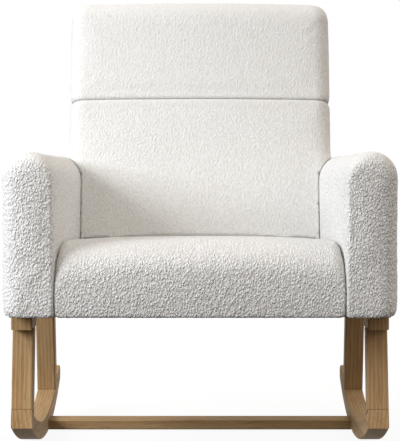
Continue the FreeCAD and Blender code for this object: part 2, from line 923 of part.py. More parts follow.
def base_bolt_holes(seat):
    """The clearance hole and the tee nut's bore in the arm's base rail."""
    up = Vector(0, 0, 1)
    top = Vector(seat.x, seat.y, body_bottom + arm_base_height)
    barrel = Part.makeCylinder(tee_nut_barrel / 2 + thread_clearance, tee_nut_length + bolt_clearance,
                               top, up * -1)
    return [bolt_hole(seat, up, overall_width), barrel]


def make_tee_nut(seat):
    """One tee nut, its flange on the arm's base rail."""
    top = Vector(seat.x, seat.y, body_bottom + arm_base_height)
    flange = sleeve(tee_nut_flange, tee_nut_flange_thickness, top, Vector(0, 0, 1))
    barrel = sleeve(tee_nut_barrel, tee_nut_length, top, Vector(0, 0, -1))
    return flange.fuse(barrel).removeSplitter()


def make_hex_nut(place, direction):
    """One hexagon nut on a bolt's end."""
    turn = FreeCAD.Rotation(Vector(0, 0, 1), direction)
    radius = hex_nut_width / math.sqrt(3)
    corners = [place + turn.multVec(Vector(radius * math.cos(math.radians(60 * k)),
                                           radius * math.sin(math.radians(60 * k)), 0)) for k in range(6)]
    body = extruded(corners, direction * hex_nut_thickness)
    return body.cut(Part.makeCylinder(bolt_size / 2 + thread_clearance, hex_nut_thickness, place, direction))


# Wooden base, drawn on the left side

def runner_disc(radius):
    """A disc across the chair about the runners' centre."""
    centre = Vector(-half_width, runner_centre, runner_radius)
    return Part.makeCylinder(radius, overall_width, centre, Vector(1, 0, 0))


def leg_axis(lean):
    """The upward direction of a leg that leans by lean, positive when its foot is in front."""
    angle = math.radians(lean)
    return Vector(0, math.sin(angle), math.cos(angle))


def make_leg(top, lean):
    """One leg under the left rail, coped to the runner's top."""
    slope = math.tan(math.radians(lean))
    low = -overshoot
    drop = base_rail_bottom - low
    outline = [(top, base_rail_bottom), (top + leg_depth, base_rail_bottom),
               (top + leg_depth - drop * slope, low), (top - drop * slope, low)]
    leg = side_prism(outline, base_inner, base_outer)
    leg = round_edges(leg, wood_edge, lambda edge: edge.BoundBox.ZLength > base_rail_height)
    leg = leg.common(runner_disc(runner_top_radius))
    return without(leg, [hole for joint in leg_joints(top, lean) for hole in dowel_holes(joint, lean)])


def leg_joints(top, lean):
    """The dowels' places where a leg meets its rail and its runner."""
    axis = leg_axis(lean)
    joints = []
    for side in (-0.5, 0.5):
        y = top + leg_depth / 2 + side * dowel_spacing
        head = Vector(base_middle, y, base_rail_bottom)
        joints.append(head)
        joints.append(runner_hit(head, axis))
    return joints


def runner_hit(point, axis):
    """Where the line down a leg's axis from point meets the runner's top."""
    y = point.y - runner_centre
    z = point.z - runner_radius
    b = -(y * axis.y + z * axis.z)
    run = -b + math.sqrt(b * b - y * y - z * z + runner_top_radius ** 2)
    return point - axis * run


def dowel(joint, lean, radius, reach):
    """A dowel along a leg's axis, half on each side of its joint."""
    axis = leg_axis(lean)
    return Part.makeCylinder(radius, 2 * reach, joint - axis * reach, axis)


def dowel_holes(joint, lean):
    """The bore for one dowel, a little wider and longer than it."""
    return [dowel(joint, lean, dowel_diameter / 2 + dowel_clearance, dowel_reach + 2 * dowel_clearance)]


def leg_places():
    """Top and lean of each leg of a side frame."""
    return [(front_leg_top, front_leg_lean), (rear_leg_top, -rear_leg_lean)]


def side_dowel_holes():
    """Every dowel bore of the left side frame."""
    return [hole for top, lean in leg_places() for joint in leg_joints(top, lean)
            for hole in dowel_holes(joint, lean)]


def make_side_dowels():
    """The dowels of the left side frame."""
    return [dowel(joint, lean, dowel_diameter / 2, dowel_reach)
            for top, lean in leg_places() for joint in leg_joints(top, lean)]


def make_base_rail():
    """The left top rail, between the legs and the arm, cut away underneath from leg to leg."""
    rail = block(base_inner, base_outer, base_rail_front, base_rail_rear, base_rail_bottom, body_bottom)
    relief = block(base_inner - overshoot, base_outer + overshoot,
                   front_leg_top + leg_depth + base_rail_shoulder, rear_leg_top - base_rail_shoulder,
                   base_rail_bottom - overshoot, base_rail_bottom + base_rail_relief)
    relief = round_edges(relief, base_rail_relief - wood_edge,
                         lambda edge: edge.BoundBox.XLength > leg_width and edge.BoundBox.ZMin > base_rail_bottom)
    rail = rail.cut(relief)
    rail = round_edges(rail, wood_edge, lambda edge: edge.BoundBox.XLength < wood_edge)
    up = Vector(0, 0, 1)
    holes = side_dowel_holes()
    for seat in base_bolt_seats():
        holes.append(bolt_hole(seat, up, overall_width))
        holes.append(counterbore(seat, up))
    return without(rail, holes)


def front_leg_face(z):
    """The Y of the front leg's front face at height z."""
    return front_leg_top - (base_rail_bottom - z) * math.tan(math.radians(front_leg_lean))


def make_runner():
    """The left curved runner, cut in line with the front leg and rounded at its tail."""
    ring = runner_disc(runner_radius).cut(runner_disc(runner_top_radius))
    top = runner_radius
    outline = [(front_leg_face(0), 0), (runner_tail, 0), (runner_tail, top), (front_leg_face(top), top)]
    runner = ring.common(side_prism(outline, base_inner, base_outer))
    runner = min(runner.Solids, key=lambda solid: solid.CenterOfMass.z)

    def at_tail(edge):
        box = edge.BoundBox
        return box.YMin > runner_tail - wood_edge and box.XLength > wood_edge

    runner = round_edges(runner, runner_tail_round, at_tail)

    def along_side(edge):
        return edge.BoundBox.XLength < wood_edge and edge.BoundBox.YMax > front_leg_face(top / 2)

    runner = round_edges(runner, wood_edge, along_side)
    return without(runner, side_dowel_holes() + stretcher_bolt_holes())


def stretcher_middle():
    """The middle of the stretcher's section, at its left end."""
    radius = stretcher_top_radius + stretcher_height / 2
    y = runner_centre + radius * math.sin(stretcher_turn)
    z = runner_radius - radius * math.cos(stretcher_turn)
    return Vector(base_inner, y, z)


def make_stretcher():
    """The flat bar between the runners, turned to follow their curve and clear of the floor."""
    middle = stretcher_middle()
    bar = block(-base_inner, base_inner, middle.y - stretcher_depth / 2, middle.y + stretcher_depth / 2,
                middle.z - stretcher_height / 2, middle.z + stretcher_height / 2)
    bar = round_edges(bar, wood_edge, lambda edge: edge.BoundBox.XLength > base_inner)
    bar.rotate(middle, Vector(1, 0, 0), math.degrees(stretcher_turn))
    holes = stretcher_bolt_holes() + [cross_dowel_hole()]
    return without(bar, holes + [mirrored(hole) for hole in holes])


def stretcher_bolt_line():
    """The bearing point and direction of the left stretcher bolt."""
    seat = stretcher_middle() + Vector(leg_width - counterbore_depth, 0, 0)
    return seat, Vector(-1, 0, 0)


def stretcher_bolt_length():
    """The length of a stretcher bolt, past its cross dowel."""
    return leg_width - counterbore_depth + cross_dowel_reach + cross_dowel_diameter


def stretcher_bolt_holes():
    """The clearance hole and the counterbore of the left stretcher bolt."""
    seat, direction = stretcher_bolt_line()
    return [bolt_hole(seat, direction, stretcher_bolt_length() + bolt_tail), counterbore(seat, direction)]


def cross_dowel_axis():
    """The foot and direction of the cross dowel in the stretcher's left end."""
    axis = Vector(0, -math.sin(stretcher_turn), math.cos(stretcher_turn))
    middle = stretcher_middle() - Vector(cross_dowel_reach, 0, 0)
    return middle - axis * (cross_dowel_length / 2), axis


def cross_dowel_hole():
    """The blind hole for the left cross dowel, open under the stretcher."""
    foot, axis = cross_dowel_axis()
    radius = cross_dowel_diameter / 2 + thread_clearance
    start = foot - axis * stretcher_height
    return Part.makeCylinder(radius, stretcher_height + cross_dowel_length, start, axis)


def make_cross_dowel():
    """The steel cross dowel in the stretcher's left end."""
    foot, axis = cross_dowel_axis()
    barrel = Part.makeCylinder(cross_dowel_diameter / 2, cross_dowel_length, foot, axis)
    start = foot + axis * (cross_dowel_length / 2) - Vector(cross_dowel_diameter, 0, 0)
    radius = bolt_size / 2 + thread_clearance
    return barrel.cut(Part.makeCylinder(radius, 2 * cross_dowel_diameter, start, Vector(1, 0, 0)))


# The whole chair, by node

def both_sides(name, shape):
    """A left piece and its mirror, named for their sides."""
    return {"left_" + name: shape, "right_" + name: mirrored(shape)}


def both(shapes):
    """Loose pieces of the left side and their mirrors."""
    return group(shapes + [mirrored(shape) for shape in shapes])


def base_nodes():
    """The wooden base and its fasteners."""
    up = Vector(0, 0, 1)
    nodes = both_sides("runner", make_runner())
    nodes.update(both_sides("front_leg", make_leg(*leg_places()[0])))
    nodes.update(both_sides("rear_leg", make_leg(*leg_places()[1])))
    nodes.update(both_sides("base_rail", make_base_rail()))
    nodes["stretcher"] = make_stretcher()
    nodes["leg_dowels"] = both(make_side_dowels())
    nodes["stretcher_bolts"] = both([bolt(*stretcher_bolt_line(), stretcher_bolt_length())])
    nodes["stretcher_cross_dowels"] = both([make_cross_dowel()])
    nodes["base_bolts"] = both([bolt(seat, up, base_bolt_length()) for seat in base_bolt_seats()])
    nodes["base_tee_nuts"] = both([make_tee_nut(seat) for seat in base_bolt_seats()])
    return nodes


def arm_nodes():
    """The two arms and the fasteners that hold them to the seat frame."""
    nodes = both_sides("arm_cover", make_arm_cover())
    nodes.update(both_sides("arm_padding", make_arm_padding()))
    nodes.update(both_sides("arm_liner", make_arm_liner()))
    nodes.update(both_sides("arm_front_panel", make_arm_front_panel()))
    nodes.update(both_sides("arm_rear_panel", make_arm_rear_panel()))
    nodes.update(both_sides("arm_top_board", make_arm_top_board()))
    nodes.update(both_sides("arm_base_rail", make_arm_base_rail()))
    length = seat_rail_thickness + module_gap + insert_length
    nodes["arm_bolts"] = both([bolt(*arm_bolt_line(y), length) for y in arm_bolt_rows()])
    nodes["arm_inserts"] = both([make_arm_insert(y) for y in arm_bolt_rows()])
    return nodes


def seat_nodes():
    """The seat frame, its springs and its upholstery."""
    nodes = {"seat_front_rail": make_seat_front_rail(), "seat_rear_rail": make_seat_rear_rail()}
    nodes.update(both_sides("seat_rail", make_seat_side_rail()))
    nodes["seat_corner_blocks"] = both([make_corner_block()])
    nodes["seat_springs"] = group([make_spring(middle) for middle in spring_places()])
    nodes["spring_clips"] = group([make_spring_clip(middle, y) for middle in spring_places()
                                   for y in spring_ends()])
    nodes["seat_foam"] = make_seat_foam()
    nodes["seat_cover"] = make_seat_cover()
    nodes["dust_cover"] = make_dust_cover()
    return nodes


def back_nodes():
    """The back's frame, straps and upholstery, and the bolts that hold it to the seat."""
    neighbours = beside_back()
    nodes = both_sides("back_post", make_back_post())
    nodes.update(both_sides("back_wing", make_back_wing()))
    frame_roof = back_height(post_rear, frame_top)
    nodes["back_bottom_rail"] = make_back_rail(seat_rail_bottom, seat_rail_bottom + back_rail_height)
    seam = back_height(post_front, seam_place)
    nodes["back_middle_rail"] = make_back_rail(seam - back_rail_height / 2, seam + back_rail_height / 2)
    nodes["back_top_rail"] = make_back_rail(frame_roof - back_rail_height, frame_roof)
    nodes["back_straps"] = group(make_back_straps())
    nodes["lower_back_foam"] = make_lower_back_foam(neighbours)
    nodes["lower_back_cover"] = make_lower_back_cover(neighbours)
    nodes["headrest_foam"] = make_headrest_foam()
    nodes["headrest_cover"] = make_headrest_cover()
    nodes["rear_panel"] = make_rear_panel(neighbours)
    nodes["backing_board"] = make_backing_board(neighbours)
    forward = back_forward()
    grip = back_bolt_grip()
    length = grip + hex_nut_thickness + bolt_tail
    nodes["back_bolts"] = group([bolt(seat, forward, length) for seat in back_bolt_seats()])
    nodes["back_nuts"] = group([make_hex_nut(seat + forward * grip, forward) for seat in back_bolt_seats()])
    return nodes


def main():
    """Build every node and write it as a STEP file."""
    os.makedirs("parts", exist_ok=True)
    nodes = {}
    for make in (base_nodes, arm_nodes, seat_nodes, back_nodes):
        nodes.update(make())
    for name, shape in nodes.items():
        shape.exportStep("parts/" + name + ".step")


main()
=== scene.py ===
"""An upholstered rocking chair: cream boucle over a padded timber body, on a solid oak rocking base.

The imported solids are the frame. The padded covers are swollen from them as cloth and given their pile,
the thin cloths and straps are modelled over them, and every other solid keeps its shape and is dressed.
Lengths are in metres. The sitter faces -Y, and the chair stands on z = 0.
"""

from __future__ import annotations

import json
import logging
import math
from dataclasses import dataclass, field
from enum import Enum

import bmesh
import bpy
import numpy as np
from bpy.types import Material, Mesh, Node, NodeSocket, NodeTree, Object
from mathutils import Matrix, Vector
from mathutils.bvhtree import BVHTree

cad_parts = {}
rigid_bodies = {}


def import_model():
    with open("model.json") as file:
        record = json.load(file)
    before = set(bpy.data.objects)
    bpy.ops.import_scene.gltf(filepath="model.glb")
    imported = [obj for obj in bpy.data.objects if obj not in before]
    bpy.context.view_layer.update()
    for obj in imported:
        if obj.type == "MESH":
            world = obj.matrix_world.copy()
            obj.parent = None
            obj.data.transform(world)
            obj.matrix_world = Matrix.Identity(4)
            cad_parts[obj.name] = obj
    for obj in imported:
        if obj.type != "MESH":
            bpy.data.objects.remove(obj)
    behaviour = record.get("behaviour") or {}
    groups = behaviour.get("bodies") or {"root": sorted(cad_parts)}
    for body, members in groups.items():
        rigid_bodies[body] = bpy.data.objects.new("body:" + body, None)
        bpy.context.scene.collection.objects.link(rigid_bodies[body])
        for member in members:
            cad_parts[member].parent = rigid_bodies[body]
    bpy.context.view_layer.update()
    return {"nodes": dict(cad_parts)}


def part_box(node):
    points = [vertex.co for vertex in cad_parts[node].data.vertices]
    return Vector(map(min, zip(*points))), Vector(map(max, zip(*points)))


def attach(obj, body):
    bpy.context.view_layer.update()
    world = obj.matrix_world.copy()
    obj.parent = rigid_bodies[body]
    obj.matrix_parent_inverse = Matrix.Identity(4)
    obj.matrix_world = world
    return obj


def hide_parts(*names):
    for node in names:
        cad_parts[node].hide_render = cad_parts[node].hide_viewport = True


for leftover in list(bpy.data.objects):
    bpy.data.objects.remove(leftover)
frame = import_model()

log = logging.getLogger("rocking_chair")
MM = 0.001
BODY = "root"
BODY_BOTTOM = 277 * MM
PILE_MASK = "pile"


def linear(code: str) -> tuple[float, float, float, float]:
    """Turns an sRGB hex colour into linear light.

    Args:
        code: six hex digits.

    Returns:
        Red, green, blue and alpha.
    """
    shares = [int(code[at:at + 2], 16) / 255 for at in (0, 2, 4)]
    red, green, blue = [s / 12.92 if s <= 0.04045 else ((s + 0.055) / 1.055) ** 2.4 for s in shares]
    return red, green, blue, 1.0


def add_node(tree: NodeTree, kind: str, feeds: dict | None = None, **options) -> Node:
    """Adds a node, sets its options and feeds its sockets.

    Args:
        tree: the node tree that gets it.
        kind: the node's type.
        feeds: a socket's name or number, and the value, other socket or other node that it takes.
        options: the node's own settings.

    Returns:
        The new node.
    """
    node = tree.nodes.new(kind)
    for option, value in options.items():
        setattr(node, option, value)
    for key, value in (feeds or {}).items():
        if isinstance(value, Node):
            value = value.outputs[0]
        if isinstance(value, NodeSocket):
            tree.links.new(value, node.inputs[key])
        else:
            node.inputs[key].default_value = value
    return node


def new_material(name: str) -> tuple[Material, NodeTree, NodeSocket]:
    """Makes a material with no surface yet.

    Args:
        name: what the finish is called.

    Returns:
        The material, its tree, and the place on the piece, for its patterns.
    """
    material = bpy.data.materials.new(name)
    material.use_nodes = True
    tree = material.node_tree
    tree.nodes.clear()
    return material, tree, add_node(tree, "ShaderNodeTexCoord").outputs["Object"]


def close_material(material: Material, height: NodeSocket, strength: float, depth: float,
                   surface: dict, sunk: bool = False) -> Material:
    """Ends a material: its fine relief, its surface and its output.

    Args:
        material: the material to end.
        height: the pattern that stands up from the surface.
        strength: how much of the relief shows.
        depth: how high the relief stands.
        surface: what the surface's sockets take.
        sunk: whether the pattern is sunk instead.

    Returns:
        The same material.
    """
    tree = material.node_tree
    bump = add_node(tree, "ShaderNodeBump", {"Height": height, "Strength": strength, "Distance": depth},
                    invert=sunk)
    shader = add_node(tree, "ShaderNodeBsdfPrincipled", {**surface, "Normal": bump})
    add_node(tree, "ShaderNodeOutputMaterial", {"Surface": shader})
    return material


def new_tree(name: str, sizes: tuple[str, ...]) -> tuple[NodeTree, Node]:
    """Makes a geometry tree with one mesh in, one mesh out and some named sizes.

    Args:
        name: what the tree makes.
        sizes: the names of its inputs.

    Returns:
        The tree and its input node.
    """
    tree = bpy.data.node_groups.new(name, "GeometryNodeTree")
    tree.interface.new_socket("Geometry", in_out="INPUT", socket_type="NodeSocketGeometry")
    for size in sizes:
        tree.interface.new_socket(size, in_out="INPUT", socket_type="NodeSocketFloat")
    tree.interface.new_socket("Geometry", in_out="OUTPUT", socket_type="NodeSocketGeometry")
    return tree, add_node(tree, "NodeGroupInput")


def close_tree(tree: NodeTree, made: NodeSocket, material: Material) -> None:
    """Ends a geometry tree: its instances made real, shaded smooth and given their finish.

    Args:
        tree: the tree to end.
        made: the geometry that it has made.
        material: the finish.
    """
    real = add_node(tree, "GeometryNodeRealizeInstances", {"Geometry": made})
    smooth = add_node(tree, "GeometryNodeSetShadeSmooth", {"Geometry": real})
    dressed = add_node(tree, "GeometryNodeSetMaterial", {"Geometry": smooth, "Material": material})
    add_node(tree, "NodeGroupOutput", {"Geometry": dressed})


def run_tree(piece: Object, tree: NodeTree, sizes: dict[str, float]) -> None:
    """Puts a geometry tree on a piece and turns the result into its plain mesh.

    Args:
        piece: the object.
        tree: the tree.
        sizes: the value of each named input.
    """
    modifier = piece.modifiers.new(tree.name, "NODES")
    modifier.node_group = tree
    for item in tree.interface.items_tree:
        if item.in_out == "INPUT" and item.name in sizes:
            modifier[item.identifier] = sizes[item.name]
    bake(piece)


def bake(piece: Object) -> None:
    """Turns a piece's modifiers into its plain mesh.

    Args:
        piece: the object, which keeps its place in the frame.
    """
    bpy.context.view_layer.update()
    graph = bpy.context.evaluated_depsgraph_get()
    shown = piece.evaluated_get(graph)
    mesh = bpy.data.meshes.new_from_object(shown, preserve_all_data_layers=True, depsgraph=graph)
    mesh.name = piece.name
    piece.modifiers.clear()
    piece.data = mesh


def place(mesh: Mesh) -> Object:
    """Puts a mesh into the scene as a piece of the same name.

    Args:
        mesh: the mesh, with its place in its points.

    Returns:
        The piece's object.
    """
    piece = bpy.data.objects.new(mesh.name, mesh)
    bpy.context.scene.collection.objects.link(piece)
    return piece


def from_bmesh(name: str, shape: bmesh.types.BMesh) -> Object:
    """Turns an edit mesh into a piece of the scene.

    Args:
        name: the piece's name.
        shape: the edit mesh, which is freed.

    Returns:
        The piece's object.
    """
    mesh = bpy.data.meshes.new(name)
    shape.to_mesh(mesh)
    shape.free()
    return place(mesh)


def solids(nodes: tuple[str, ...]) -> bmesh.types.BMesh:
    """Copies some CAD solids into one edit mesh, with their loose triangles merged.

    Args:
        nodes: the names of the solids' nodes.

    Returns:
        The edit mesh.
    """
    shape = bmesh.new()
    for node in nodes:
        shape.from_mesh(frame["nodes"][node].data)
    bmesh.ops.remove_doubles(shape, verts=shape.verts, dist=0.01 * MM)
    return shape


def surfaces(nodes: tuple[str, ...]) -> BVHTree:
    """Makes a search tree of some CAD solids' surfaces.

    Args:
        nodes: the names of the solids' nodes.

    Returns:
        The search tree.
    """
    shape = solids(nodes)
    found = BVHTree.FromBMesh(shape)
    shape.free()
    return found


def points_of(mesh: Mesh, what: str = "co") -> np.ndarray:
    """Reads a mesh's points, or their normals.

    Args:
        mesh: the mesh.
        what: "co" for places or "normal" for normals.

    Returns:
        One row of three numbers a point.
    """
    flat = np.zeros(len(mesh.vertices) * 3, np.float32)
    mesh.vertices.foreach_get(what, flat)
    return flat.reshape(-1, 3).astype(float)


def move_points(mesh: Mesh, places: np.ndarray) -> None:
    """Moves a mesh's points to new places, one row of three numbers a point."""
    mesh.vertices.foreach_set("co", places.astype(np.float32).ravel())
    mesh.update()


def smoothstep(values: np.ndarray, start: float, end: float) -> np.ndarray:
    """Rises smoothly from 0 at the start to 1 at the end, for each of the values."""
    share = np.clip((values - start) / (end - start), 0, 1)
    return share * share * (3 - 2 * share)


def set_mask(mesh: Mesh, values: np.ndarray) -> None:
    """Stores the share of pile at each point of a mesh."""
    mask = mesh.attributes.new(PILE_MASK, "FLOAT", "POINT")
    mask.data.foreach_set("value", values.astype(np.float32))


def thicken(sheet: Object, thickness: float) -> None:
    """Gives a sheet its thickness, inwards from the face that was modelled.

    Args:
        sheet: the object.
        thickness: how thick it is.
    """
    wall = sheet.modifiers.new("thickness", "SOLIDIFY")
    wall.thickness = thickness
    wall.offset = -1
    bake(sheet)


class Grain(Enum):
    """The way that a timber's fibres run, as the turn that lays them along a pattern's X."""

    ACROSS = (0.0, 0.0, 0.0)
    ALONG = (0.0, 0.0, -math.pi / 2)
    UP = (0.0, math.pi / 2, 0.0)


@dataclass(frozen=True)
class LoopPattern:
    """The curled loops of boucle yarn, as a height from 0 down between the loops to 1 on a loop."""

    loop: float = 4.1 * MM
    stretch: float = 1.45
    wander: float = 0.3
    seed: float = 7.0
    softness: float = 0.12
    valley: float = 0.75
    crest: float = 0.08
    twist: float = 1.35
    ridge: float = 0.16
    ridge_share: float = 0.22

    def add(self, tree: NodeTree, spot: NodeSocket,
            pitch: NodeSocket | float, seed: NodeSocket | float) -> NodeSocket:
        """Adds the pattern to a material or a geometry tree.

        Args:
            tree: the tree.
            spot: the place on the piece.
            pitch: how many loops there are to a metre.
            seed: where in the pattern the cloth was cut.

        Returns:
            The height.
        """
        drift = add_node(tree, "ShaderNodeTexNoise", {
            "Vector": spot, "W": seed, "Scale": pitch, "Detail": 0.0}, noise_dimensions="4D")
        pull = add_node(tree, "ShaderNodeVectorMath", {0: drift.outputs[1], 1: (0.5, 0.5, 0.5)},
                        operation="SUBTRACT")
        lying = add_node(tree, "ShaderNodeVectorMath", {0: spot, 1: (1, 1 / self.stretch, 1 / self.stretch)},
                         operation="MULTIPLY")
        scaled = add_node(tree, "ShaderNodeVectorMath", {0: lying, 3: pitch}, operation="SCALE")
        warped = add_node(tree, "ShaderNodeVectorMath", {
            0: pull, 1: (self.wander * 2,) * 3, 2: scaled}, operation="MULTIPLY_ADD")
        curls = add_node(tree, "ShaderNodeTexVoronoi", {
            "Vector": warped, "Scale": 1.0, "Smoothness": self.softness, "Randomness": 1.0},
            voronoi_dimensions="3D", feature="SMOOTH_F1")
        crests = add_node(tree, "ShaderNodeMapRange", {
            "Value": curls.outputs["Distance"], "From Min": self.valley, "From Max": self.crest},
            interpolation_type="SMOOTHSTEP")
        twists = add_node(tree, "ShaderNodeTexNoise", {
            "Vector": warped, "W": seed, "Scale": self.twist, "Detail": 1.0}, noise_dimensions="4D")
        ridge = add_node(tree, "ShaderNodeMath", {0: twists, 1: 0.5}, operation="SUBTRACT")
        ridge = add_node(tree, "ShaderNodeMath", {0: ridge}, operation="ABSOLUTE")
        ridge = add_node(tree, "ShaderNodeMapRange", {
            "Value": ridge, "From Min": self.ridge, "From Max": 0.0})
        mixed = add_node(tree, "ShaderNodeMath", {0: ridge, 1: self.ridge_share}, operation="MULTIPLY")
        return add_node(tree, "ShaderNodeMath", {0: crests, 1: 1 - self.ridge_share, 2: mixed},
                        operation="MULTIPLY_ADD").outputs[0]


@dataclass(frozen=True)
class Boucle:
    """Boucle: a looped yarn woven loose, so the eye sees soft curls, grey hollows between them that are
    painted shade, and no gloss.
    """

    pattern: LoopPattern = LoopPattern()
    tip: str = "EAEAE9"
    # Painted shade: the darker colour given where the loops are low, for the shadow between them.
    crevice_shade: str = "CBC8C3"
    # The plain colour where the pile mask is low: on hidden walls, in narrow gaps facing a neighbour, and in
    # part on up-facing tops and the back cushions.
    low_pile_tone: str = "DEDDDA"
    shaded: str = "D8D5D0"
    fibre: float = 1.3 * MM
    fuzz: float = 0.3
    cloud: float = 90 * MM
    loft: float = 2.5 * MM

    def material(self) -> Material:
        """Makes the finish.

        Returns:
            The material.
        """
        material, tree, spot = new_material("boucle_cloth")
        height = self.pattern.add(tree, spot, 1 / self.pattern.loop, self.pattern.seed)
        fibres, clouds = [
            add_node(tree, "ShaderNodeTexNoise", {"Vector": spot, "Scale": 1 / size, "Detail": 2.0})
            for size in (self.fibre, self.cloud)]
        fuzzy = add_node(tree, "ShaderNodeMath", {0: fibres, 1: self.fuzz, 2: height},
                         operation="MULTIPLY_ADD")
        relief = add_node(tree, "ShaderNodeAttribute", attribute_name=PILE_MASK).outputs["Fac"]
        depth = add_node(tree, "ShaderNodeMapRange", {
            "Value": fuzzy, "From Min": 0.1, "From Max": 0.6}, interpolation_type="SMOOTHSTEP")
        # Painted shade: the colour falls from the tip colour to a darker one where the loops are low,
        # standing in for the shadow between them.
        yarn = add_node(tree, "ShaderNodeMix", {
            0: depth, 6: linear(self.crevice_shade), 7: linear(self.tip)}, data_type="RGBA")
        # Where the pile mask is low, the yarn's colour and its painted shade give way to the plain colour.
        flat = add_node(tree, "ShaderNodeMix", {0: relief, 6: linear(self.low_pile_tone), 7: yarn.outputs[2]},
                        data_type="RGBA", clamp_factor=True)
        fade = add_node(tree, "ShaderNodeMapRange", {
            "Value": clouds, "From Min": 0.3, "From Max": 0.7, "To Min": 0.0, "To Max": 0.08})
        tone = add_node(tree, "ShaderNodeMix", {
            0: fade, 6: flat.outputs[2], 7: linear(self.shaded)}, data_type="RGBA")
        raised = add_node(tree, "ShaderNodeMath", {0: fuzzy, 1: relief}, operation="MULTIPLY")
        return close_material(material, raised.outputs[0], 1.0, self.loft, {
            "Base Color": tone.outputs[2], "Roughness": 0.95, "Specular IOR Level": 0.12,
            "Sheen Weight": 0.25, "Sheen Roughness": 0.55})


@dataclass(frozen=True)
class JointShade:
    """Painted shade: fine dark lines where a leg meets its runner below and its rail above, standing in for
    the shade in the creases of these flush joints.
    """

    runner_y: float = 18.3 * MM
    runner_z: float = 920 * MM
    runner_top: float = 884 * MM
    rail_z: float = 247 * MM
    width: float = 1.8 * MM
    share: float = 0.8
    # The colour of the painted joint shade.
    colour: str = "3E2A18"

    def add(self, tree: NodeTree, spot: NodeSocket) -> NodeSocket:
        """Adds the painted shade lines to a material.

        Args:
            tree: the material's tree.
            spot: the place on the piece.

        Returns:
            The share of painted shade that shows.
        """
        offset = add_node(tree, "ShaderNodeVectorMath", {0: spot, 1: (0, self.runner_y, self.runner_z)},
                          operation="SUBTRACT")
        plane = add_node(tree, "ShaderNodeVectorMath", {0: offset, 1: (0, 1, 1)}, operation="MULTIPLY")
        reach = add_node(tree, "ShaderNodeVectorMath", {0: plane}, operation="LENGTH")
        curve = add_node(tree, "ShaderNodeMath", {0: reach.outputs["Value"], 1: self.runner_top},
                         operation="SUBTRACT")
        curve = add_node(tree, "ShaderNodeMath", {0: curve}, operation="ABSOLUTE")
        level = add_node(tree, "ShaderNodeSeparateXYZ", {0: spot})
        head = add_node(tree, "ShaderNodeMath", {0: level.outputs["Z"], 1: self.rail_z}, operation="SUBTRACT")
        head = add_node(tree, "ShaderNodeMath", {0: head}, operation="ABSOLUTE")
        near = add_node(tree, "ShaderNodeMath", {0: curve, 1: head}, operation="MINIMUM")
        return add_node(tree, "ShaderNodeMapRange", {
            "Value": near, "From Min": self.width, "From Max": 0.0, "To Max": self.share}).outputs[0]


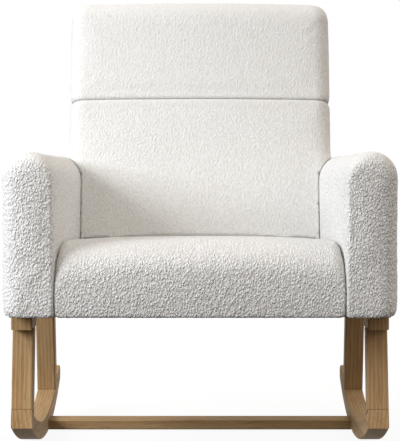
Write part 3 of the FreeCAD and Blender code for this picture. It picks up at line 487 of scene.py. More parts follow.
@dataclass(frozen=True)
class Timber:
    """Sawn or planed timber: rings that run into long figures, with pores as fine dark strokes."""

    name: str
    early: str
    late: str
    pore: str
    ring: float
    pore_width: float
    pore_length: float
    pore_share: float
    roughness: float
    gloss: float = 0.3
    pith: tuple[float, float, float] = (0.0, 31 * MM, 17 * MM)
    taper: float = 0.09
    end_slope: float = 0.9
    board_pitch: tuple[float, float, float] = (4.0, 45.0, 45.0)

    def material(self, grain: Grain, lean: float = 0.0, joint: JointShade | None = None,
                 faced: bool = False) -> Material:
        """Makes the finish for one direction of the fibres.

        Args:
            grain: the way that the fibres run.
            lean: how far a leg leans, in radians.
            joint: the painted shade lines at the joints, if any.
            faced: whether the front and back ends are faced with upright timber.

        Returns:
            The material.
        """
        material, tree, spot = new_material(f"{self.name}_{grain.name.lower()}")
        turn = (grain.value[0] + lean, grain.value[1], grain.value[2])
        fibres = add_node(tree, "ShaderNodeMapping", {"Vector": spot, "Rotation": turn}).outputs[0]
        if faced:
            upright = add_node(tree, "ShaderNodeMapping", {"Vector": spot, "Rotation": Grain.UP.value})
            normal = add_node(tree, "ShaderNodeNewGeometry").outputs["True Normal"]
            way = add_node(tree, "ShaderNodeSeparateXYZ", {0: normal})
            end = add_node(tree, "ShaderNodeMath", {0: way.outputs["Y"]}, operation="ABSOLUTE")
            end = add_node(tree, "ShaderNodeMath", {0: end, 1: self.end_slope}, operation="GREATER_THAN")
            fibres = add_node(tree, "ShaderNodeMix", {0: end, 4: fibres, 5: upright},
                              data_type="VECTOR").outputs[1]
        log_shape = add_node(tree, "ShaderNodeMapping", {
            "Vector": fibres, "Location": self.pith, "Scale": (self.taper, 1, 1)})
        rings = add_node(tree, "ShaderNodeTexWave", {
            "Vector": log_shape, "Scale": math.pi / (10 * self.ring), "Distortion": 5.0,
            "Detail": 2.0, "Detail Scale": 0.35, "Detail Roughness": 0.55},
            wave_type="RINGS", rings_direction="X", wave_profile="SAW")
        strokes = add_node(tree, "ShaderNodeMapping", {
            "Vector": fibres, "Scale": (1 / self.pore_length, 1 / self.pore_width, 1 / self.pore_width)})
        pores = add_node(tree, "ShaderNodeTexNoise", {
            "Vector": strokes, "Scale": 1.0, "Detail": 3.0, "Roughness": 0.6})
        pits = add_node(tree, "ShaderNodeMapRange", {
            "Value": pores, "From Min": 0.52, "From Max": 0.72, "To Max": self.pore_share})
        broad = add_node(tree, "ShaderNodeMapping", {"Vector": fibres, "Scale": self.board_pitch})
        boards = add_node(tree, "ShaderNodeTexNoise", {"Vector": broad, "Scale": 1.0, "Detail": 2.0})
        shade = add_node(tree, "ShaderNodeMath", {0: boards, 1: 0.9, 2: -0.2}, operation="MULTIPLY_ADD")
        figure = add_node(tree, "ShaderNodeMath", {0: rings.outputs[1], 1: 0.55, 2: shade},
                          operation="MULTIPLY_ADD", use_clamp=True)
        wood = add_node(tree, "ShaderNodeMix", {
            0: figure, 6: linear(self.early), 7: linear(self.late)}, data_type="RGBA")
        shown = add_node(tree, "ShaderNodeMix", {
            0: pits, 6: wood.outputs[2], 7: linear(self.pore)}, data_type="RGBA").outputs[2]
        if joint:
            # Painted shade along the creases where the legs meet the runners and rails.
            crease_shade = joint.add(tree, spot)
            shown = add_node(tree, "ShaderNodeMix", {0: crease_shade, 6: shown, 7: linear(joint.colour)},
                             data_type="RGBA").outputs[2]
        rough = add_node(tree, "ShaderNodeMapRange", {"Value": pits, "To Min": self.roughness,
                                                      "To Max": min(1.0, self.roughness + 0.2)})
        return close_material(material, pits.outputs[0], 0.35, 0.25 * MM, {
            "Base Color": shown, "Roughness": rough, "Specular IOR Level": self.gloss}, sunk=True)


@dataclass(frozen=True)
class Board:
    """A pressed or glued board: flecks of fibre, or thin veneers laid in a stack."""

    name: str
    light: str
    dark: str
    fleck: float
    layer: float
    roughness: float

    def material(self) -> Material:
        """Makes the finish.

        Returns:
            The material.
        """
        material, tree, spot = new_material(self.name)
        flecks = add_node(tree, "ShaderNodeTexNoise", {"Vector": spot, "Scale": 1 / self.fleck, "Detail": 4.0,
                                                       "Roughness": 0.65})
        veneers = add_node(tree, "ShaderNodeTexWave", {
            "Vector": spot, "Scale": math.pi / (10 * self.layer), "Distortion": 0.6, "Detail": 1.0},
            wave_type="BANDS", bands_direction="Z")
        stack = add_node(tree, "ShaderNodeMath", {0: veneers.outputs[1], 1: 0.3}, operation="MULTIPLY")
        mixed = add_node(tree, "ShaderNodeMath", {0: flecks, 1: 0.7, 2: stack},
                         operation="MULTIPLY_ADD", use_clamp=True)
        colour = add_node(tree, "ShaderNodeMix", {
            0: mixed, 6: linear(self.dark), 7: linear(self.light)}, data_type="RGBA")
        return close_material(material, flecks.outputs[0], 0.2, 0.3 * MM, {
            "Base Color": colour.outputs[2], "Roughness": self.roughness})


@dataclass(frozen=True)
class Steel:
    """Steel hardware: a thin zinc plate with a faint spangle, or drawn wire with a film of oil."""

    name: str
    bright: str
    dull: str
    spangle: float
    roughness: float

    def material(self) -> Material:
        """Makes the finish.

        Returns:
            The material.
        """
        material, tree, spot = new_material(self.name)
        plates = add_node(tree, "ShaderNodeTexVoronoi", {"Vector": spot, "Scale": 1 / self.spangle})
        grime = add_node(tree, "ShaderNodeTexNoise", {
            "Vector": spot, "Scale": 0.4 / self.spangle, "Detail": 3.0})
        blend = add_node(tree, "ShaderNodeMath", {0: plates, 1: grime}, operation="MULTIPLY", use_clamp=True)
        colour = add_node(tree, "ShaderNodeMix", {
            0: blend, 6: linear(self.bright), 7: linear(self.dull)}, data_type="RGBA")
        rough = add_node(tree, "ShaderNodeMapRange", {"Value": grime, "To Min": self.roughness,
                                                      "To Max": self.roughness + 0.2})
        return close_material(material, grime.outputs[0], 0.1, 0.1 * MM, {
            "Base Color": colour.outputs[2], "Metallic": 1.0, "Roughness": rough})


@dataclass(frozen=True)
class Weave:
    """A thin technical cloth: bonded dots on non-woven polypropylene, or the ribs of elastic webbing."""

    name: str
    ground: str
    raised: str
    pitch: float
    roughness: float

    def material(self) -> Material:
        """Makes the finish.

        Returns:
            The material.
        """
        material, tree, spot = new_material(self.name)
        dots = add_node(tree, "ShaderNodeTexVoronoi", {"Vector": spot, "Scale": 1 / self.pitch,
                                                       "Randomness": 0.15})
        felt = add_node(tree, "ShaderNodeTexNoise", {"Vector": spot, "Scale": 2 / self.pitch, "Detail": 3.0})
        height = add_node(tree, "ShaderNodeMath", {0: felt, 1: 0.5, 2: dots}, operation="MULTIPLY_ADD")
        colour = add_node(tree, "ShaderNodeMix", {
            0: height, 6: linear(self.ground), 7: linear(self.raised)}, data_type="RGBA")
        return close_material(material, height.outputs[0], 0.4, 0.3 * MM, {
            "Base Color": colour.outputs[2], "Roughness": self.roughness})


OAK = Timber("lacquered_oak", early="C8AA7F", late="9C774D", pore="6F4F30", ring=6.5 * MM,
             pore_width=1.6 * MM, pore_length=45 * MM, pore_share=0.6, roughness=0.6, gloss=0.15)
PINE = Timber("sawn_pine", early="E2C694", late="C79F63", pore="B08750", ring=4 * MM,
              pore_width=1.5 * MM, pore_length=60 * MM, pore_share=0.25, roughness=0.75)
BEECH = Timber("turned_beech", early="DDB98B", late="CDA272", pore="A97C4E", ring=3 * MM,
               pore_width=0.8 * MM, pore_length=3 * MM, pore_share=0.5, roughness=0.6)
PLYWOOD = Board("birch_plywood", light="E0C79B", dark="B8935F", fleck=6 * MM, layer=1.4 * MM, roughness=0.7)
HARDBOARD = Board("oil_tempered_hardboard", light="8E6A48", dark="5E4127", fleck=1.8 * MM, layer=3 * MM,
                  roughness=0.6)
ZINC = Steel("zinc_plated_steel", bright="C9CDD0", dull="8F9497", spangle=2.5 * MM, roughness=0.3)
SPRING = Steel("oiled_spring_steel", bright="6A6B6E", dull="3A3A3D", spangle=4 * MM, roughness=0.4)
DUST = Weave("black_non_woven", ground="101012", raised="2B2B2E", pitch=2.2 * MM, roughness=0.9)
ELASTIC = Weave("elastic_webbing", ground="1C1C1E", raised="4A4A4D", pitch=2.0 * MM, roughness=0.8)

ARM_FRAME = ("arm_liner", "arm_front_panel", "arm_rear_panel", "arm_top_board", "arm_base_rail")
SEAT_FRAME = ("seat_front_rail", "seat_rear_rail", "left_seat_rail", "right_seat_rail", "seat_corner_blocks",
              "seat_springs", "spring_clips", "dust_cover")
BACK_FRAME = ("left_back_post", "right_back_post", "left_back_wing", "right_back_wing", "back_bottom_rail",
              "back_middle_rail", "back_top_rail", "back_straps", "backing_board", "rear_panel")


def dress(nodes: tuple[str, ...], material: Material) -> None:
    """Gives CAD nodes that keep their shape a finish.

    Args:
        nodes: the nodes' names.
        material: the finish.
    """
    for node in nodes:
        solid = frame["nodes"][node]
        if not solid.material_slots:
            solid.data.materials.append(material)
        for slot in solid.material_slots:
            slot.material = material
        log.info("%s: %s", node, material.name)


@dataclass
class Pile:
    """The pile of the boucle: every outer face is lifted into tufts, each of a few loops."""

    cloth: Boucle
    tuft: float = 7 * MM
    height: float = 0.6 * MM
    tree: NodeTree = field(init=False)

    def __post_init__(self) -> None:
        """Builds the geometry tree, with inputs Tuft Size, Tuft Height and Seed."""
        self.tree, given = new_tree("boucle_pile", ("Tuft Size", "Tuft Height", "Seed"))
        spot = add_node(self.tree, "GeometryNodeInputPosition").outputs[0]
        pitch = add_node(self.tree, "ShaderNodeMath", {0: 1.0, 1: given.outputs["Tuft Size"]},
                         operation="DIVIDE")
        loops = self.cloth.pattern.add(self.tree, spot, pitch.outputs[0], given.outputs["Seed"])
        mask = add_node(self.tree, "GeometryNodeInputNamedAttribute", {"Name": PILE_MASK}, data_type="FLOAT")
        lift = add_node(self.tree, "ShaderNodeMath", {0: loops, 1: given.outputs["Tuft Height"]},
                        operation="MULTIPLY")
        lift = add_node(self.tree, "ShaderNodeMath", {0: lift, 1: mask}, operation="MULTIPLY")
        normal = add_node(self.tree, "GeometryNodeInputNormal")
        push = add_node(self.tree, "ShaderNodeVectorMath", {0: normal, 3: lift}, operation="SCALE")
        moved = add_node(self.tree, "GeometryNodeSetPosition", {
            "Geometry": given.outputs["Geometry"], "Offset": push})
        close_tree(self.tree, moved.outputs[0], self.cloth.material())

    def raise_on(self, piece: Object) -> None:
        """Raises the pile on a piece that has its mask."""
        sizes = {"Tuft Size": self.tuft, "Tuft Height": self.height, "Seed": self.cloth.pattern.seed}
        run_tree(piece, self.tree, sizes)


@dataclass(frozen=True)
class RoundedEdge:
    """The quarter round with which a padded face ends at a seam."""

    width: float
    depth: float

    def depth_at(self, distance: np.ndarray) -> np.ndarray:
        """Finds how deep the face has dropped at each distance from the seam."""
        left = 1 - np.clip(distance / self.width, 0, 1)
        return self.depth * (1 - np.sqrt(1 - left * left))


@dataclass
class PaddedPiece:
    """A cover over its foam: joined, remeshed, swollen as cloth, sewn and given its pile."""

    name: str
    nodes: tuple[str, ...]
    neighbours: tuple[str, ...]
    inside: tuple[str, ...]
    fill: float = 0.75
    relief: float = 1.0
    voxel: float = 5 * MM
    hidden_share: float = 0.12
    clearance: float = 0.4 * MM
    ease: float = 0.8 * MM
    swell: float = 1.6 * MM
    cap: float = 8 * MM
    hem_height: float = 0.0
    hem_fade: float = 25 * MM
    hem: RoundedEdge = RoundedEdge(30 * MM, 6 * MM)
    touching: tuple[float, float] = (6 * MM, 34 * MM)
    opening: tuple[float, float] = (1.5 * MM, 8 * MM)
    depth: float = 300 * MM
    top_relief: float = 0.6
    pressure: float = 4.0
    frames: int = 20
    loose_hold: float = 0.2
    most_swell: float = 1.5
    top_slope: tuple[float, float] = (0.2, 0.8)
    pressed: tuple[str, ...] = ()
    press_reach: float = 8 * MM

    def blank(self) -> Object:
        """Joins the cover and its foam and lays an even net of faces on them, which keeps their crisp edges.

        Returns:
            The piece before it swells.
        """
        piece = from_bmesh(self.name, solids(self.nodes))
        net = piece.modifiers.new("even_net", "REMESH")
        net.mode = "VOXEL"
        net.voxel_size = self.voxel
        relax = piece.modifiers.new("relax", "SMOOTH")
        relax.factor = 0.5
        relax.iterations = 4
        bake(piece)
        skin = surfaces(self.nodes)
        snapped = [skin.find_nearest(Vector(spot))[0] for spot in points_of(piece.data)]
        move_points(piece.data, np.array(snapped))
        return piece

    def hidden(self, mesh: Mesh) -> np.ndarray:
        """Finds the walls that lie inside, against the frame or facing another wall of the piece.

        Args:
            mesh: the net.

        Returns:
            1 for each hidden point and 0 for each outer one.
        """
        shape = bmesh.new()
        shape.from_mesh(mesh)
        own = BVHTree.FromBMesh(shape)
        shape.free()
        timber = surfaces(self.inside)
        found = np.zeros(len(mesh.vertices))
        for index, (spot, normal) in enumerate(zip(points_of(mesh), points_of(mesh, "normal"))):
            away = Vector(normal)
            start = Vector(spot) + away * MM
            if own.ray_cast(start, away, self.depth)[0] or timber.ray_cast(start, away, self.depth)[0]:
                found[index] = 1.0
        return found

    def thin_hidden(self, piece: Object) -> None:
        """Leaves only large faces on the hidden walls.

        Args:
            piece: the even net.
        """
        hidden = self.hidden(piece.data)
        group = piece.vertex_groups.new(name="hidden")
        group.add([int(index) for index in np.nonzero(hidden)[0]], 1.0, "REPLACE")
        fewer = piece.modifiers.new("fewer_hidden_faces", "DECIMATE")
        fewer.ratio = 1 - hidden.mean() * (1 - self.hidden_share)
        fewer.vertex_group = group.name
        fewer.vertex_group_factor = 1000
        bake(piece)
        piece.vertex_groups.clear()

    def holds(self, mesh: Mesh) -> tuple[np.ndarray, np.ndarray]:
        """Finds where the cloth can't swell: on the frame inside it, at its hem and against its neighbours.

        Args:
            mesh: the net.

        Returns:
            The share that each point is held, and the share that it is out in the open.
        """
        spots = points_of(mesh)
        hidden = self.hidden(mesh)
        others = surfaces(self.neighbours)
        far = 50 * MM
        gap = np.full(len(spots), far)
        facing = np.full(len(spots), far)
        for index, (spot, normal) in enumerate(zip(spots, points_of(mesh, "normal"))):
            near = others.find_nearest(Vector(spot), far)[3]
            if near is not None:
                gap[index] = near
                ahead = others.ray_cast(Vector(spot), Vector(normal), far)[3]
                facing[index] = far if ahead is None else ahead
        touch = 1 - smoothstep(gap, *self.touching)
        hem = 1 - smoothstep(spots[:, 2], self.hem_height, self.hem_height + self.hem_fade)
        held = np.maximum.reduce([hidden, touch, hem])
        return held, (1 - hidden) * smoothstep(facing, *self.opening)

    def swollen(self, piece: Object, held: np.ndarray) -> np.ndarray:
        """Blows the piece up as cloth under the pressure of its foam.

        Args:
            piece: the even net, eased in.
            held: the share that each point is held.

        Returns:
            How far each point moved, capped.
        """
        start = points_of(piece.data)
        group = piece.vertex_groups.new(name="held")
        for index, weight in enumerate(held):
            group.add([index], float(weight), "REPLACE")
        cloth = piece.modifiers.new("swell", "CLOTH")
        cloth.settings.quality = 4
        cloth.settings.mass = 0.3
        cloth.settings.tension_stiffness = 18
        cloth.settings.compression_stiffness = 18
        cloth.settings.bending_stiffness = 1.5
        cloth.settings.use_pressure = True
        cloth.settings.uniform_pressure_force = self.pressure
        cloth.settings.vertex_group_mass = group.name
        cloth.settings.effector_weights.gravity = 0
        cloth.collision_settings.use_collision = False
        cloth.point_cache.frame_start = 1
        cloth.point_cache.frame_end = self.frames
        for step in range(1, self.frames + 1):
            bpy.context.scene.frame_set(step)
        bake(piece)
        bpy.context.scene.frame_set(1)
        piece.vertex_groups.clear()
        moved = points_of(piece.data) - start
        far = np.linalg.norm(moved, axis=1)
        return moved * np.minimum(1, self.cap / np.maximum(far, 1e-9))[:, None]

    def build(self) -> Object:
        """Makes the swollen piece, with the mask of its pile.

        Returns:
            The piece before its pile is raised.
        """
        piece = self.blank()
        self.thin_hidden(piece)
        held, open_share = self.holds(piece.data)
        spots = points_of(piece.data)
        normals = points_of(piece.data, "normal")
        drawn = open_share * (self.clearance + self.ease * (1 - held))
        spots = spots - normals * drawn[:, None]
        tucked = open_share * self.hem.depth_at(spots[:, 2] - self.hem_height)
        spots = spots - normals * (1, 1, 0) * tucked[:, None]
        move_points(piece.data, spots)
        moved = self.swollen(piece, held)
        loose = held < self.loose_hold
        mean = np.linalg.norm(moved[loose], axis=1).mean() if loose.any() else 1.0
        share = min(self.most_swell, self.swell / max(mean, 1e-6))
        log.info("%s swelled %.2f mm, kept at %.2f of that", self.name, mean / MM, share)
        move_points(piece.data, spots + moved * share)
        top = smoothstep(normals[:, 2], *self.top_slope)
        set_mask(piece.data, self.relief * open_share * (1 - (1 - self.top_relief) * top))
        return piece

    def press(self, mesh: Mesh) -> None:
        """Presses the edges beside some neighbours back on to the solids' skin, so that the joints close.

        Args:
            mesh: the finer net.
        """
        others = surfaces(self.pressed)
        skin = surfaces(self.nodes)
        spots = points_of(mesh)
        for index, spot in enumerate(spots):
            near = others.find_nearest(Vector(spot), self.press_reach)[3]
            if near is not None:
                share = 1 - smoothstep(near, self.press_reach / 2, self.press_reach)
                spots[index] += (np.array(skin.find_nearest(Vector(spot))[0]) - spot) * share
        move_points(mesh, spots)

    def finish(self, piece: Object, pile: Pile) -> None:
        """Divides the net, presses its joints if asked, raises the pile and hangs the piece on the frame.

        Args:
            piece: the swollen piece.
            pile: the cloth's pile.
        """
        finer = piece.modifiers.new("finer_net", "SUBSURF")
        finer.levels = 1
        finer.render_levels = 1
        if self.pressed:
            bake(piece)
            self.press(piece.data)
        pile.raise_on(piece)
        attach(piece, BODY)
        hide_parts(*self.nodes)
        log.info("%s: %d faces", piece.name, len(piece.data.polygons))


def sew(mesh: Mesh, distance: np.ndarray, depth: float, width: float) -> None:
    """Draws a sewn seam into the open faces of a padded piece.

    Args:
        mesh: the piece's mesh, with its pile mask.
        distance: how far each point is from the seam.
        depth: how deep the seam draws in.
        width: how wide the groove is to each side.
    """
    mask = np.zeros(len(mesh.vertices), np.float32)
    mesh.attributes[PILE_MASK].data.foreach_get("value", mask)
    draw = depth * (1 - smoothstep(np.abs(distance), 0, width)) * mask
    move_points(mesh, points_of(mesh) - points_of(mesh, "normal") * draw[:, None])


def mirrored(piece: Object, name: str) -> Object:
    """Copies a piece to the other side of the chair, with its faces turned out again.

    Args:
        piece: the piece to copy.
        name: the copy's name.

    Returns:
        The copy.
    """
    mesh = piece.data.copy()
    mesh.name = name
    move_points(mesh, points_of(mesh) * (-1, 1, 1))
    mesh.flip_normals()
    return place(mesh)


@dataclass
class ArmPads:
    """The two padded arms: boxes with half-round tops and rounded fronts."""

    front: float = -395 * MM
    edge: float = 5 * MM
    crown: float = 36 * MM
    seam_depth: float = 1.4 * MM
    seam_width: float = 7 * MM

    def pad(self, side: str) -> PaddedPiece:
        """Describes the arm on the left or right side."""
        return PaddedPiece(
            f"{side}_arm_pad", (f"{side}_arm_cover", f"{side}_arm_padding"),
            ("seat_cover", "lower_back_cover", "headrest_cover", "rear_panel"),
            tuple(f"{side}_{board}" for board in ARM_FRAME), hem_height=BODY_BOTTOM, top_relief=0.4)

    def build(self, pile: Pile) -> None:
        """Makes the left arm, and the right one from it.

        Args:
            pile: the cloth's pile.
        """
        left = self.pad("left").build()
        outside = smoothstep(points_of(left.data, "normal")[:, 0], -0.7, 0.2)
        seam = self.front + self.edge + (self.crown - self.edge) * outside
        sew(left.data, points_of(left.data)[:, 1] - seam, self.seam_depth, self.seam_width)
        right = mirrored(left, "right_arm_pad")
        self.pad("left").finish(left, pile)
        self.pad("right").finish(right, pile)


@dataclass
class SeatPad:
    """The seat cushion: crowned, rolled over the front rail and drawn in at its sides."""

    piece: PaddedPiece
    front: float = -392 * MM
    side_start: float = 215 * MM
    side_end: float = 258 * MM
    cut: RoundedEdge = RoundedEdge(18 * MM, 10 * MM)
    filled: RoundedEdge = RoundedEdge(6 * MM, 4 * MM)

    def fill_corners(self, mesh: Mesh) -> None:
        """Lets the foam press the seat's front corners against the arms.

        Args:
            mesh: the seat's mesh.
        """
        spots = points_of(mesh)
        behind = spots[:, 1] - self.front
        rise = self.cut.depth_at(behind) - self.filled.depth_at(behind)
        rise *= smoothstep(np.abs(spots[:, 0]), self.side_start, self.side_end)
        spots[:, 0] += rise * np.sign(spots[:, 0])
        move_points(mesh, spots)

    def build(self, pile: Pile) -> None:
        """Makes the seat.

        Args:
            pile: the cloth's pile.
        """
        piece = self.piece.build()
        self.fill_corners(piece.data)
        self.piece.finish(piece, pile)


@dataclass
class BackPads:
    """The back: a lower cushion and a headrest that meet at a sewn channel."""

    lower: PaddedPiece
    headrest: PaddedPiece
    recline: float = math.radians(13)
    channel_y: float = 205.2 * MM
    channel_z: float = 721 * MM
    cut: RoundedEdge = RoundedEdge(24 * MM, 20 * MM)
    filled: RoundedEdge = RoundedEdge(7 * MM, 6 * MM)

    def fill_channel(self, mesh: Mesh) -> None:
        """Lets the foam fill the cut channel, so that the cushions meet in a tight sewn crease.

        Args:
            mesh: one cushion's mesh.
        """
        spots = points_of(mesh)
        back = spots[:, 1] - self.channel_y
        up = spots[:, 2] - self.channel_z
        along = np.abs(back * math.sin(self.recline) + up * math.cos(self.recline))
        under = back * math.cos(self.recline) - up * math.sin(self.recline)
        rise = self.cut.depth_at(along) - self.filled.depth_at(along)
        rise *= 1 - smoothstep(under, 1.5 * self.cut.depth, 2.5 * self.cut.depth)
        ahead = np.array((0, -math.cos(self.recline), math.sin(self.recline)))
        move_points(mesh, spots + rise[:, None] * ahead)

    def build(self, pile: Pile) -> None:
        """Makes the two cushions.

        Args:
            pile: the cloth's pile.
        """
        for cushion in (self.lower, self.headrest):
            piece = cushion.build()
            self.fill_channel(piece.data)
            cushion.finish(piece, pile)


@dataclass
class OutsideBack:
    """The cloth over the back of the chair, stretched over its backing board and sewn at its edges."""

    node: str = "rear_panel"
    net: float = 4 * MM
    thickness: float = 2.5 * MM
    relief: float = 0.7
    inset: float = 0.1 * MM
    look_from: float = 0.1
    halvings: int = 18
    edge_share: float = 0.999
    back_slope: tuple[float, float] = (0.3, 0.8)
    width: float = 574 * MM
    length: float = 665 * MM
    area: float = 0.371

    def spot_on(self, back: BVHTree, across: float, level: float, high: Vector) -> Vector | None:
        """Finds the panel's outer face from behind, or None past the panel's edge."""
        return back.ray_cast(Vector((across, high.y + self.look_from, level)), Vector((0, -1, 0)))[0]

    def half_width(self, back: BVHTree, level: float, high: Vector) -> float:
        """Finds how far out the panel reaches at one height, by halving.

        Args:
            back: the panel's surface.
            level: the height.
            high: the panel's highest corner.

        Returns:
            The distance from the middle to the panel's edge.
        """
        inner, outer = 0.0, high.x + MM
        for _ in range(self.halvings):
            middle = (inner + outer) / 2
            if self.spot_on(back, middle, level, high):
                inner = middle
            else:
                outer = middle
        return inner * self.edge_share

    def build(self, pile: Pile) -> None:
        """Lays an even net over the back of the panel and raises its pile.

        Args:
            pile: the cloth's pile.
        """
        low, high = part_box(self.node)
        back = surfaces((self.node,))
        rows = int((high.z - low.z) / self.net)
        columns = int((high.x - low.x) / self.net)
        shape = bmesh.new()
        net = []
        for level in np.linspace(low.z + self.inset, high.z - self.inset, rows):
            half = self.half_width(back, level, high)
            row = []
            for across in np.linspace(-half, half, columns):
                nearest = back.find_nearest(Vector((across, high.y, level)))[0]
                row.append(shape.verts.new(self.spot_on(back, across, level, high) or nearest))
            net.append(row)
        for lower, upper in zip(net, net[1:]):
            for at in range(columns - 1):
                shape.faces.new((lower[at + 1], lower[at], upper[at], upper[at + 1]))
        panel = from_bmesh("outside_back", shape)
        thicken(panel, self.thickness)
        facing_back = smoothstep(points_of(panel.data, "normal")[:, 1], *self.back_slope)
        set_mask(panel.data, self.relief * facing_back)
        pile.raise_on(panel)
        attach(panel, BODY)
        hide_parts(self.node)
        log.info("outside_back: %d faces", len(panel.data.polygons))


@dataclass
class DustCloth:
    """The black cloth under the seat, which sags a little between the rails that it is stapled to."""

    node: str = "dust_cover"
    thickness: float = 0.7 * MM
    clearance: float = 0.05 * MM
    sag: float = 5 * MM
    net: int = 44
    hem: float = 9 * MM
    spacing: float = 42 * MM
    crown: float = 11 * MM
    wire: float = 0.6 * MM

    def build(self) -> None:
        """Makes the cloth."""
        low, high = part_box(self.node)
        middle = (low + high) / 2
        half = (high - low) / 2
        shape = bmesh.new()
        bmesh.ops.create_grid(shape, x_segments=self.net, y_segments=self.net, size=1.0)
        for vertex in shape.verts:
            across, along = vertex.co.x, vertex.co.y
            drop = self.sag * (1 - across ** 4) * (1 - along ** 4)
            level = high.z - self.clearance - drop
            vertex.co = (middle.x + across * half.x, middle.y + along * half.y, level)
        cloth = from_bmesh("dust_cloth", shape)
        thicken(cloth, self.thickness)
        cloth.data.materials.append(DUST.material())
        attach(cloth, BODY)
        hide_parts(self.node)
        log.info("dust_cloth: %d faces", len(cloth.data.polygons))
        self.staple(middle, half, high.z - self.thickness)

    def staple(self, middle: Vector, half: Vector, level: float) -> None:
        """Drives a row of staples round the hem.

        Args:
            middle: the middle of the cloth.
            half: half its width and length.
            level: the height of its underside at the hem.
        """
        wide, deep = half.x - self.hem, half.y - self.hem
        corners = [(-wide, -deep), (wide, -deep), (wide, deep), (-wide, deep)]
        mesh = bpy.data.meshes.new("dust_cloth_staples")
        mesh.from_pydata([(middle.x + x, middle.y + y, level) for x, y in corners],
                         [(0, 1), (1, 2), (2, 3), (3, 0)], [])
        row = place(mesh)
        tree, given = new_tree("staple_row", ("Spacing", "Crown", "Wire"))
        path = add_node(tree, "GeometryNodeMeshToCurve", {"Mesh": given.outputs["Geometry"]})
        spots = add_node(tree, "GeometryNodeResampleCurve", {
            "Curve": path, "Length": given.outputs["Spacing"]}, mode="LENGTH")
        half_crown = add_node(tree, "ShaderNodeMath", {0: given.outputs["Crown"], 1: 0.5},
                              operation="MULTIPLY")
        ends = add_node(tree, "ShaderNodeCombineXYZ", {"X": half_crown})
        other = add_node(tree, "ShaderNodeVectorMath", {0: ends, 3: -1.0}, operation="SCALE")
        bar = add_node(tree, "GeometryNodeCurvePrimitiveLine", {"Start": other, "End": ends})
        round_wire = add_node(tree, "GeometryNodeCurvePrimitiveCircle", {
            "Resolution": 6, "Radius": given.outputs["Wire"]})
        staple = add_node(tree, "GeometryNodeCurveToMesh", {
            "Curve": bar, "Profile Curve": round_wire, "Fill Caps": True})
        tangent = add_node(tree, "GeometryNodeInputTangent")
        facing = add_node(tree, "FunctionNodeAlignRotationToVector", {"Vector": tangent}, axis="X")
        staples = add_node(tree, "GeometryNodeInstanceOnPoints", {
            "Points": spots, "Instance": staple, "Rotation": facing})
        close_tree(tree, staples.outputs[0], ZINC.material())
        run_tree(row, tree, {"Spacing": self.spacing, "Crown": self.crown, "Wire": self.wire})
        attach(row, BODY)
        log.info("dust_cloth_staples: %d faces", len(row.data.polygons))


@dataclass
class BackStraps:
    """The elastic straps behind the back cushions, ribbed across as woven webbing is."""

    node: str = "back_straps"
    rib: float = 4 * MM
    depth: float = 0.25 * MM
    cuts_per_rib: int = 4

    def build(self) -> None:
        """Dices the straps along their length and ribs them."""
        shape = solids((self.node,))
        low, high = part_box(self.node)
        bmesh.ops.dissolve_limit(shape, angle_limit=math.radians(1), verts=shape.verts, edges=shape.edges)
        long_edges = [edge for edge in shape.edges if edge.calc_length() > (high.x - low.x) / 2]
        cuts = int((high.x - low.x) / self.rib * self.cuts_per_rib)
        bmesh.ops.subdivide_edges(shape, edges=long_edges, cuts=cuts, use_grid_fill=True)
        straps = from_bmesh("elastic_straps", shape)
        tree, given = new_tree("webbing_ribs", ("Rib", "Depth"))
        spot = add_node(tree, "GeometryNodeInputPosition").outputs[0]
        across = add_node(tree, "ShaderNodeSeparateXYZ", {0: spot}).outputs["X"]
        phase = add_node(tree, "ShaderNodeMath", {0: across, 1: given.outputs["Rib"]}, operation="DIVIDE")
        wave = add_node(tree, "ShaderNodeMath", {0: phase, 1: math.tau}, operation="MULTIPLY")
        wave = add_node(tree, "ShaderNodeMath", {0: wave}, operation="COSINE")
        sunk = add_node(tree, "ShaderNodeMath", {0: wave, 1: 1.0}, operation="SUBTRACT")
        sunk = add_node(tree, "ShaderNodeMath", {0: sunk, 1: given.outputs["Depth"]}, operation="MULTIPLY")
        normal = add_node(tree, "GeometryNodeInputNormal").outputs[0]
        push = add_node(tree, "ShaderNodeVectorMath", {0: normal, 3: sunk}, operation="SCALE")
        ribbed = add_node(tree, "GeometryNodeSetPosition", {"Geometry": given.outputs["Geometry"],
                                                            "Offset": push})
        close_tree(tree, ribbed.outputs[0], ELASTIC.material())
        run_tree(straps, tree, {"Rib": self.rib, "Depth": self.depth})
        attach(straps, BODY)
        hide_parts(self.node)
        log.info("elastic_straps: %d faces", len(straps.data.polygons))


@dataclass
class OakBase:
    """The rocking base: two bent runners, four leaning legs, two rails and a stretcher."""

    sides: tuple[str, ...] = ("left", "right")
    head_slice: float = 2 * MM
    foot_slice: float = 25 * MM

    def lean(self, node: str) -> float:
        """Reads how far a leg leans, from the middles of its head and foot.

        Args:
            node: the leg's name.

        Returns:
            The angle about X that would stand it up, in radians.
        """
        low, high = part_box(node)
        spots = points_of(frame["nodes"][node].data)
        head = spots[spots[:, 2] > high.z - self.head_slice].mean(axis=0)
        foot = spots[spots[:, 2] < low.z + self.foot_slice].mean(axis=0)
        rise = head - foot
        return math.atan2(rise[1], rise[2])

    def build(self) -> None:
        """Dresses every piece with its fibres along it."""
        lengthwise = OAK.material(Grain.ALONG, faced=True)
        dress(("stretcher",), OAK.material(Grain.ACROSS))
        for end in ("front_leg", "rear_leg"):
            # The legs carry the painted shade lines of their joints.
            upright = OAK.material(Grain.UP, self.lean(f"left_{end}"), JointShade())
            dress(tuple(f"{side}_{end}" for side in self.sides), upright)
        for side in self.sides:
            dress((f"{side}_runner", f"{side}_base_rail"), lengthwise)


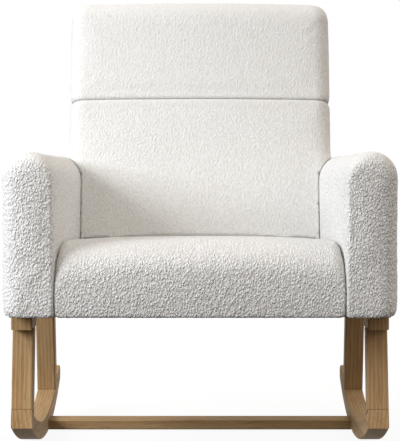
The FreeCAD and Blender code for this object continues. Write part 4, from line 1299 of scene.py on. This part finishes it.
@dataclass
class InnerFrame:
    """The timber, boards and hardware inside the upholstery, which keep their CAD shapes."""

    sides: tuple[str, ...] = ("left", "right")

    def build(self) -> None:
        """Dresses every inner piece."""
        dress(("seat_front_rail", "seat_rear_rail", "back_bottom_rail", "back_middle_rail", "back_top_rail"),
              PINE.material(Grain.ACROSS))
        dress(("seat_corner_blocks", "left_back_post", "right_back_post", "left_back_wing",
               "right_back_wing"), PINE.material(Grain.UP))
        dress(tuple(f"{side}_{rail}" for side in self.sides for rail in ("seat_rail", "arm_base_rail")),
              PINE.material(Grain.ALONG))
        plywood = ("arm_front_panel", "arm_rear_panel", "arm_top_board")
        dress(tuple(f"{side}_{board}" for side in self.sides for board in plywood), PLYWOOD.material())
        dress(("left_arm_liner", "right_arm_liner", "backing_board"), HARDBOARD.material())
        dress(("leg_dowels",), BEECH.material(Grain.UP))
        dress(("stretcher_bolts", "stretcher_cross_dowels", "base_bolts", "base_tee_nuts", "arm_bolts",
               "arm_inserts", "back_bolts", "back_nuts"), ZINC.material())
        dress(("seat_springs", "spring_clips"), SPRING.material())


@dataclass(frozen=True)
class Lamp:
    """A square soft box that faces the middle of the chair."""

    name: str
    spot: tuple[float, float, float]
    power: float
    size: float = 1.4
    colour: str = "F6FAFF"
    aim: tuple[float, float, float] = (0.0, 0.0, 0.5)

    def build(self) -> None:
        """Hangs the lamp."""
        light = bpy.data.lights.new(self.name, "AREA")
        light.size = self.size
        light.energy = self.power
        light.color = linear(self.colour)[:3]
        lamp = bpy.data.objects.new(self.name, light)
        bpy.context.scene.collection.objects.link(lamp)
        lamp.location = self.spot
        lamp.rotation_euler = (Vector(self.aim) - Vector(self.spot)).to_track_quat("-Z", "Y").to_euler()


@dataclass
class Studio:
    """A white studio: a pale floor that keeps the chair's shadow, soft lamps and the camera."""

    lamps: tuple[Lamp, ...] = (Lamp("key", (-2.6, -1.9, 1.58), 81), Lamp("side", (-3.0, -0.7, 1.68), 54))
    floor_size: float = 40.0
    floor_drop: float = 0.2 * MM
    paper_colour: str = "FFFFFF"
    bounce_colour: str = "352E28"
    shadow_share: float = 0.08
    shadow_start: float = 0.55
    shadow_end: float = 1.5
    ambient_right: float = 1.03
    ambient_top: float = 0.42
    ambient_colour: str = "FFF7EF"
    camera_place: tuple[float, float, float] = (0.0, -3.695, 0.522)
    camera_pitch: float = 1.058
    camera_lens: float = 143.67
    sensor: float = 36.0

    def seen_directly(self, tree: NodeTree) -> NodeSocket:
        """Adds what tells rays that show the background from rays that light the chair.

        Args:
            tree: a material's or the world's tree.

        Returns:
            1 for rays from the camera, a mirror or glass, and 0 for others.
        """
        rays = add_node(tree, "ShaderNodeLightPath")
        shown = add_node(tree, "ShaderNodeMath", {0: rays.outputs["Is Camera Ray"],
                                                  1: rays.outputs["Is Glossy Ray"]}, operation="MAXIMUM")
        return add_node(tree, "ShaderNodeMath", {0: shown, 1: rays.outputs["Is Transmission Ray"]},
                        operation="MAXIMUM").outputs[0]

    def floor(self) -> None:
        """Lays the floor: diffuse where the shadow falls and white paper further out."""
        shape = bmesh.new()
        bmesh.ops.create_grid(shape, x_segments=1, y_segments=1, size=self.floor_size / 2)
        floor = from_bmesh("studio_floor", shape)
        floor.location.z = -self.floor_drop
        material, tree, spot = new_material("white_paper_floor")
        reach = add_node(tree, "ShaderNodeVectorMath", {0: spot}, operation="LENGTH")
        near = add_node(tree, "ShaderNodeMapRange", {
            "Value": reach.outputs["Value"], "From Min": self.shadow_start, "From Max": self.shadow_end,
            "To Min": self.shadow_share, "To Max": 0.0}, interpolation_type="SMOOTHSTEP")
        matte = add_node(tree, "ShaderNodeBsdfDiffuse", {"Color": linear(self.paper_colour)})
        bounce = add_node(tree, "ShaderNodeBsdfDiffuse", {"Color": linear(self.bounce_colour)})
        white = add_node(tree, "ShaderNodeEmission", {"Strength": 1.0})
        shown = add_node(tree, "ShaderNodeMixShader", {0: near, 1: white, 2: matte})
        seen = self.seen_directly(tree)
        either = add_node(tree, "ShaderNodeMixShader", {0: seen, 1: bounce, 2: shown})
        under = add_node(tree, "ShaderNodeNewGeometry").outputs["Backfacing"]
        clear = add_node(tree, "ShaderNodeBsdfTransparent")
        both = add_node(tree, "ShaderNodeMixShader", {0: under, 1: either, 2: clear})
        add_node(tree, "ShaderNodeOutputMaterial", {"Surface": both})
        floor.data.materials.append(material)

    def world(self) -> None:
        """Makes a world that is white to the camera, and lights the chair from the right and above."""
        world = bpy.data.worlds.new("white_studio")
        bpy.context.scene.world = world
        world.use_nodes = True
        tree = world.node_tree
        tree.nodes.clear()
        heading = add_node(tree, "ShaderNodeTexCoord").outputs["Generated"]
        way = add_node(tree, "ShaderNodeSeparateXYZ", {0: heading})
        side = add_node(tree, "ShaderNodeMapRange", {
            "Value": way.outputs["X"], "From Min": -1.0, "To Max": self.ambient_right})
        above = add_node(tree, "ShaderNodeMapRange", {"Value": way.outputs["Z"], "To Max": self.ambient_top})
        glow = add_node(tree, "ShaderNodeMath", {0: side, 1: above})
        soft = add_node(tree, "ShaderNodeBackground", {
            "Color": linear(self.ambient_colour), "Strength": glow})
        white = add_node(tree, "ShaderNodeBackground", {"Color": linear(self.paper_colour), "Strength": 1.0})
        sky = add_node(tree, "ShaderNodeMixShader", {0: self.seen_directly(tree), 1: soft, 2: white})
        add_node(tree, "ShaderNodeOutputWorld", {"Surface": sky})

    def camera(self) -> None:
        """Sets the camera where the photograph was taken from."""
        data = bpy.data.cameras.new("camera")
        data.lens = self.camera_lens
        data.sensor_width = self.sensor
        camera = bpy.data.objects.new("camera", data)
        camera.location = self.camera_place
        camera.rotation_euler = (math.radians(90 - self.camera_pitch), 0, 0)
        bpy.context.scene.collection.objects.link(camera)
        bpy.context.scene.camera = camera

    def build(self) -> None:
        """Sets up the whole studio."""
        bpy.context.scene.view_settings.view_transform = "Standard"
        self.floor()
        self.world()
        for lamp in self.lamps:
            lamp.build()
        self.camera()
        log.info("studio: floor, lamps and camera")


def main() -> None:
    """Builds the chair's sub-assemblies in order and reports each piece."""
    logging.basicConfig(level=logging.INFO, format="%(message)s")
    pile = Pile(Boucle())
    Studio().build()
    OakBase().build()
    InnerFrame().build()
    ArmPads().build(pile)
    SeatPad(PaddedPiece(
        "seat_cushion", ("seat_cover", "seat_foam"),
        ("left_arm_cover", "right_arm_cover", "lower_back_cover"), SEAT_FRAME, hem_height=BODY_BOTTOM,
        fill=0.7)).build(pile)
    BackPads(
        PaddedPiece("lower_back_cushion", ("lower_back_cover", "lower_back_foam"),
                    ("seat_cover", "left_arm_cover", "right_arm_cover", "headrest_cover", "rear_panel"),
                    BACK_FRAME, relief=0.45, pressed=("left_arm_cover", "right_arm_cover")),
        PaddedPiece("headrest_cushion", ("headrest_cover", "headrest_foam"),
                    ("lower_back_cover", "rear_panel"), BACK_FRAME, relief=0.35)).build(pile)
    OutsideBack().build(pile)
    BackStraps().build()
    DustCloth().build()


if __name__ == "__main__":
    main()
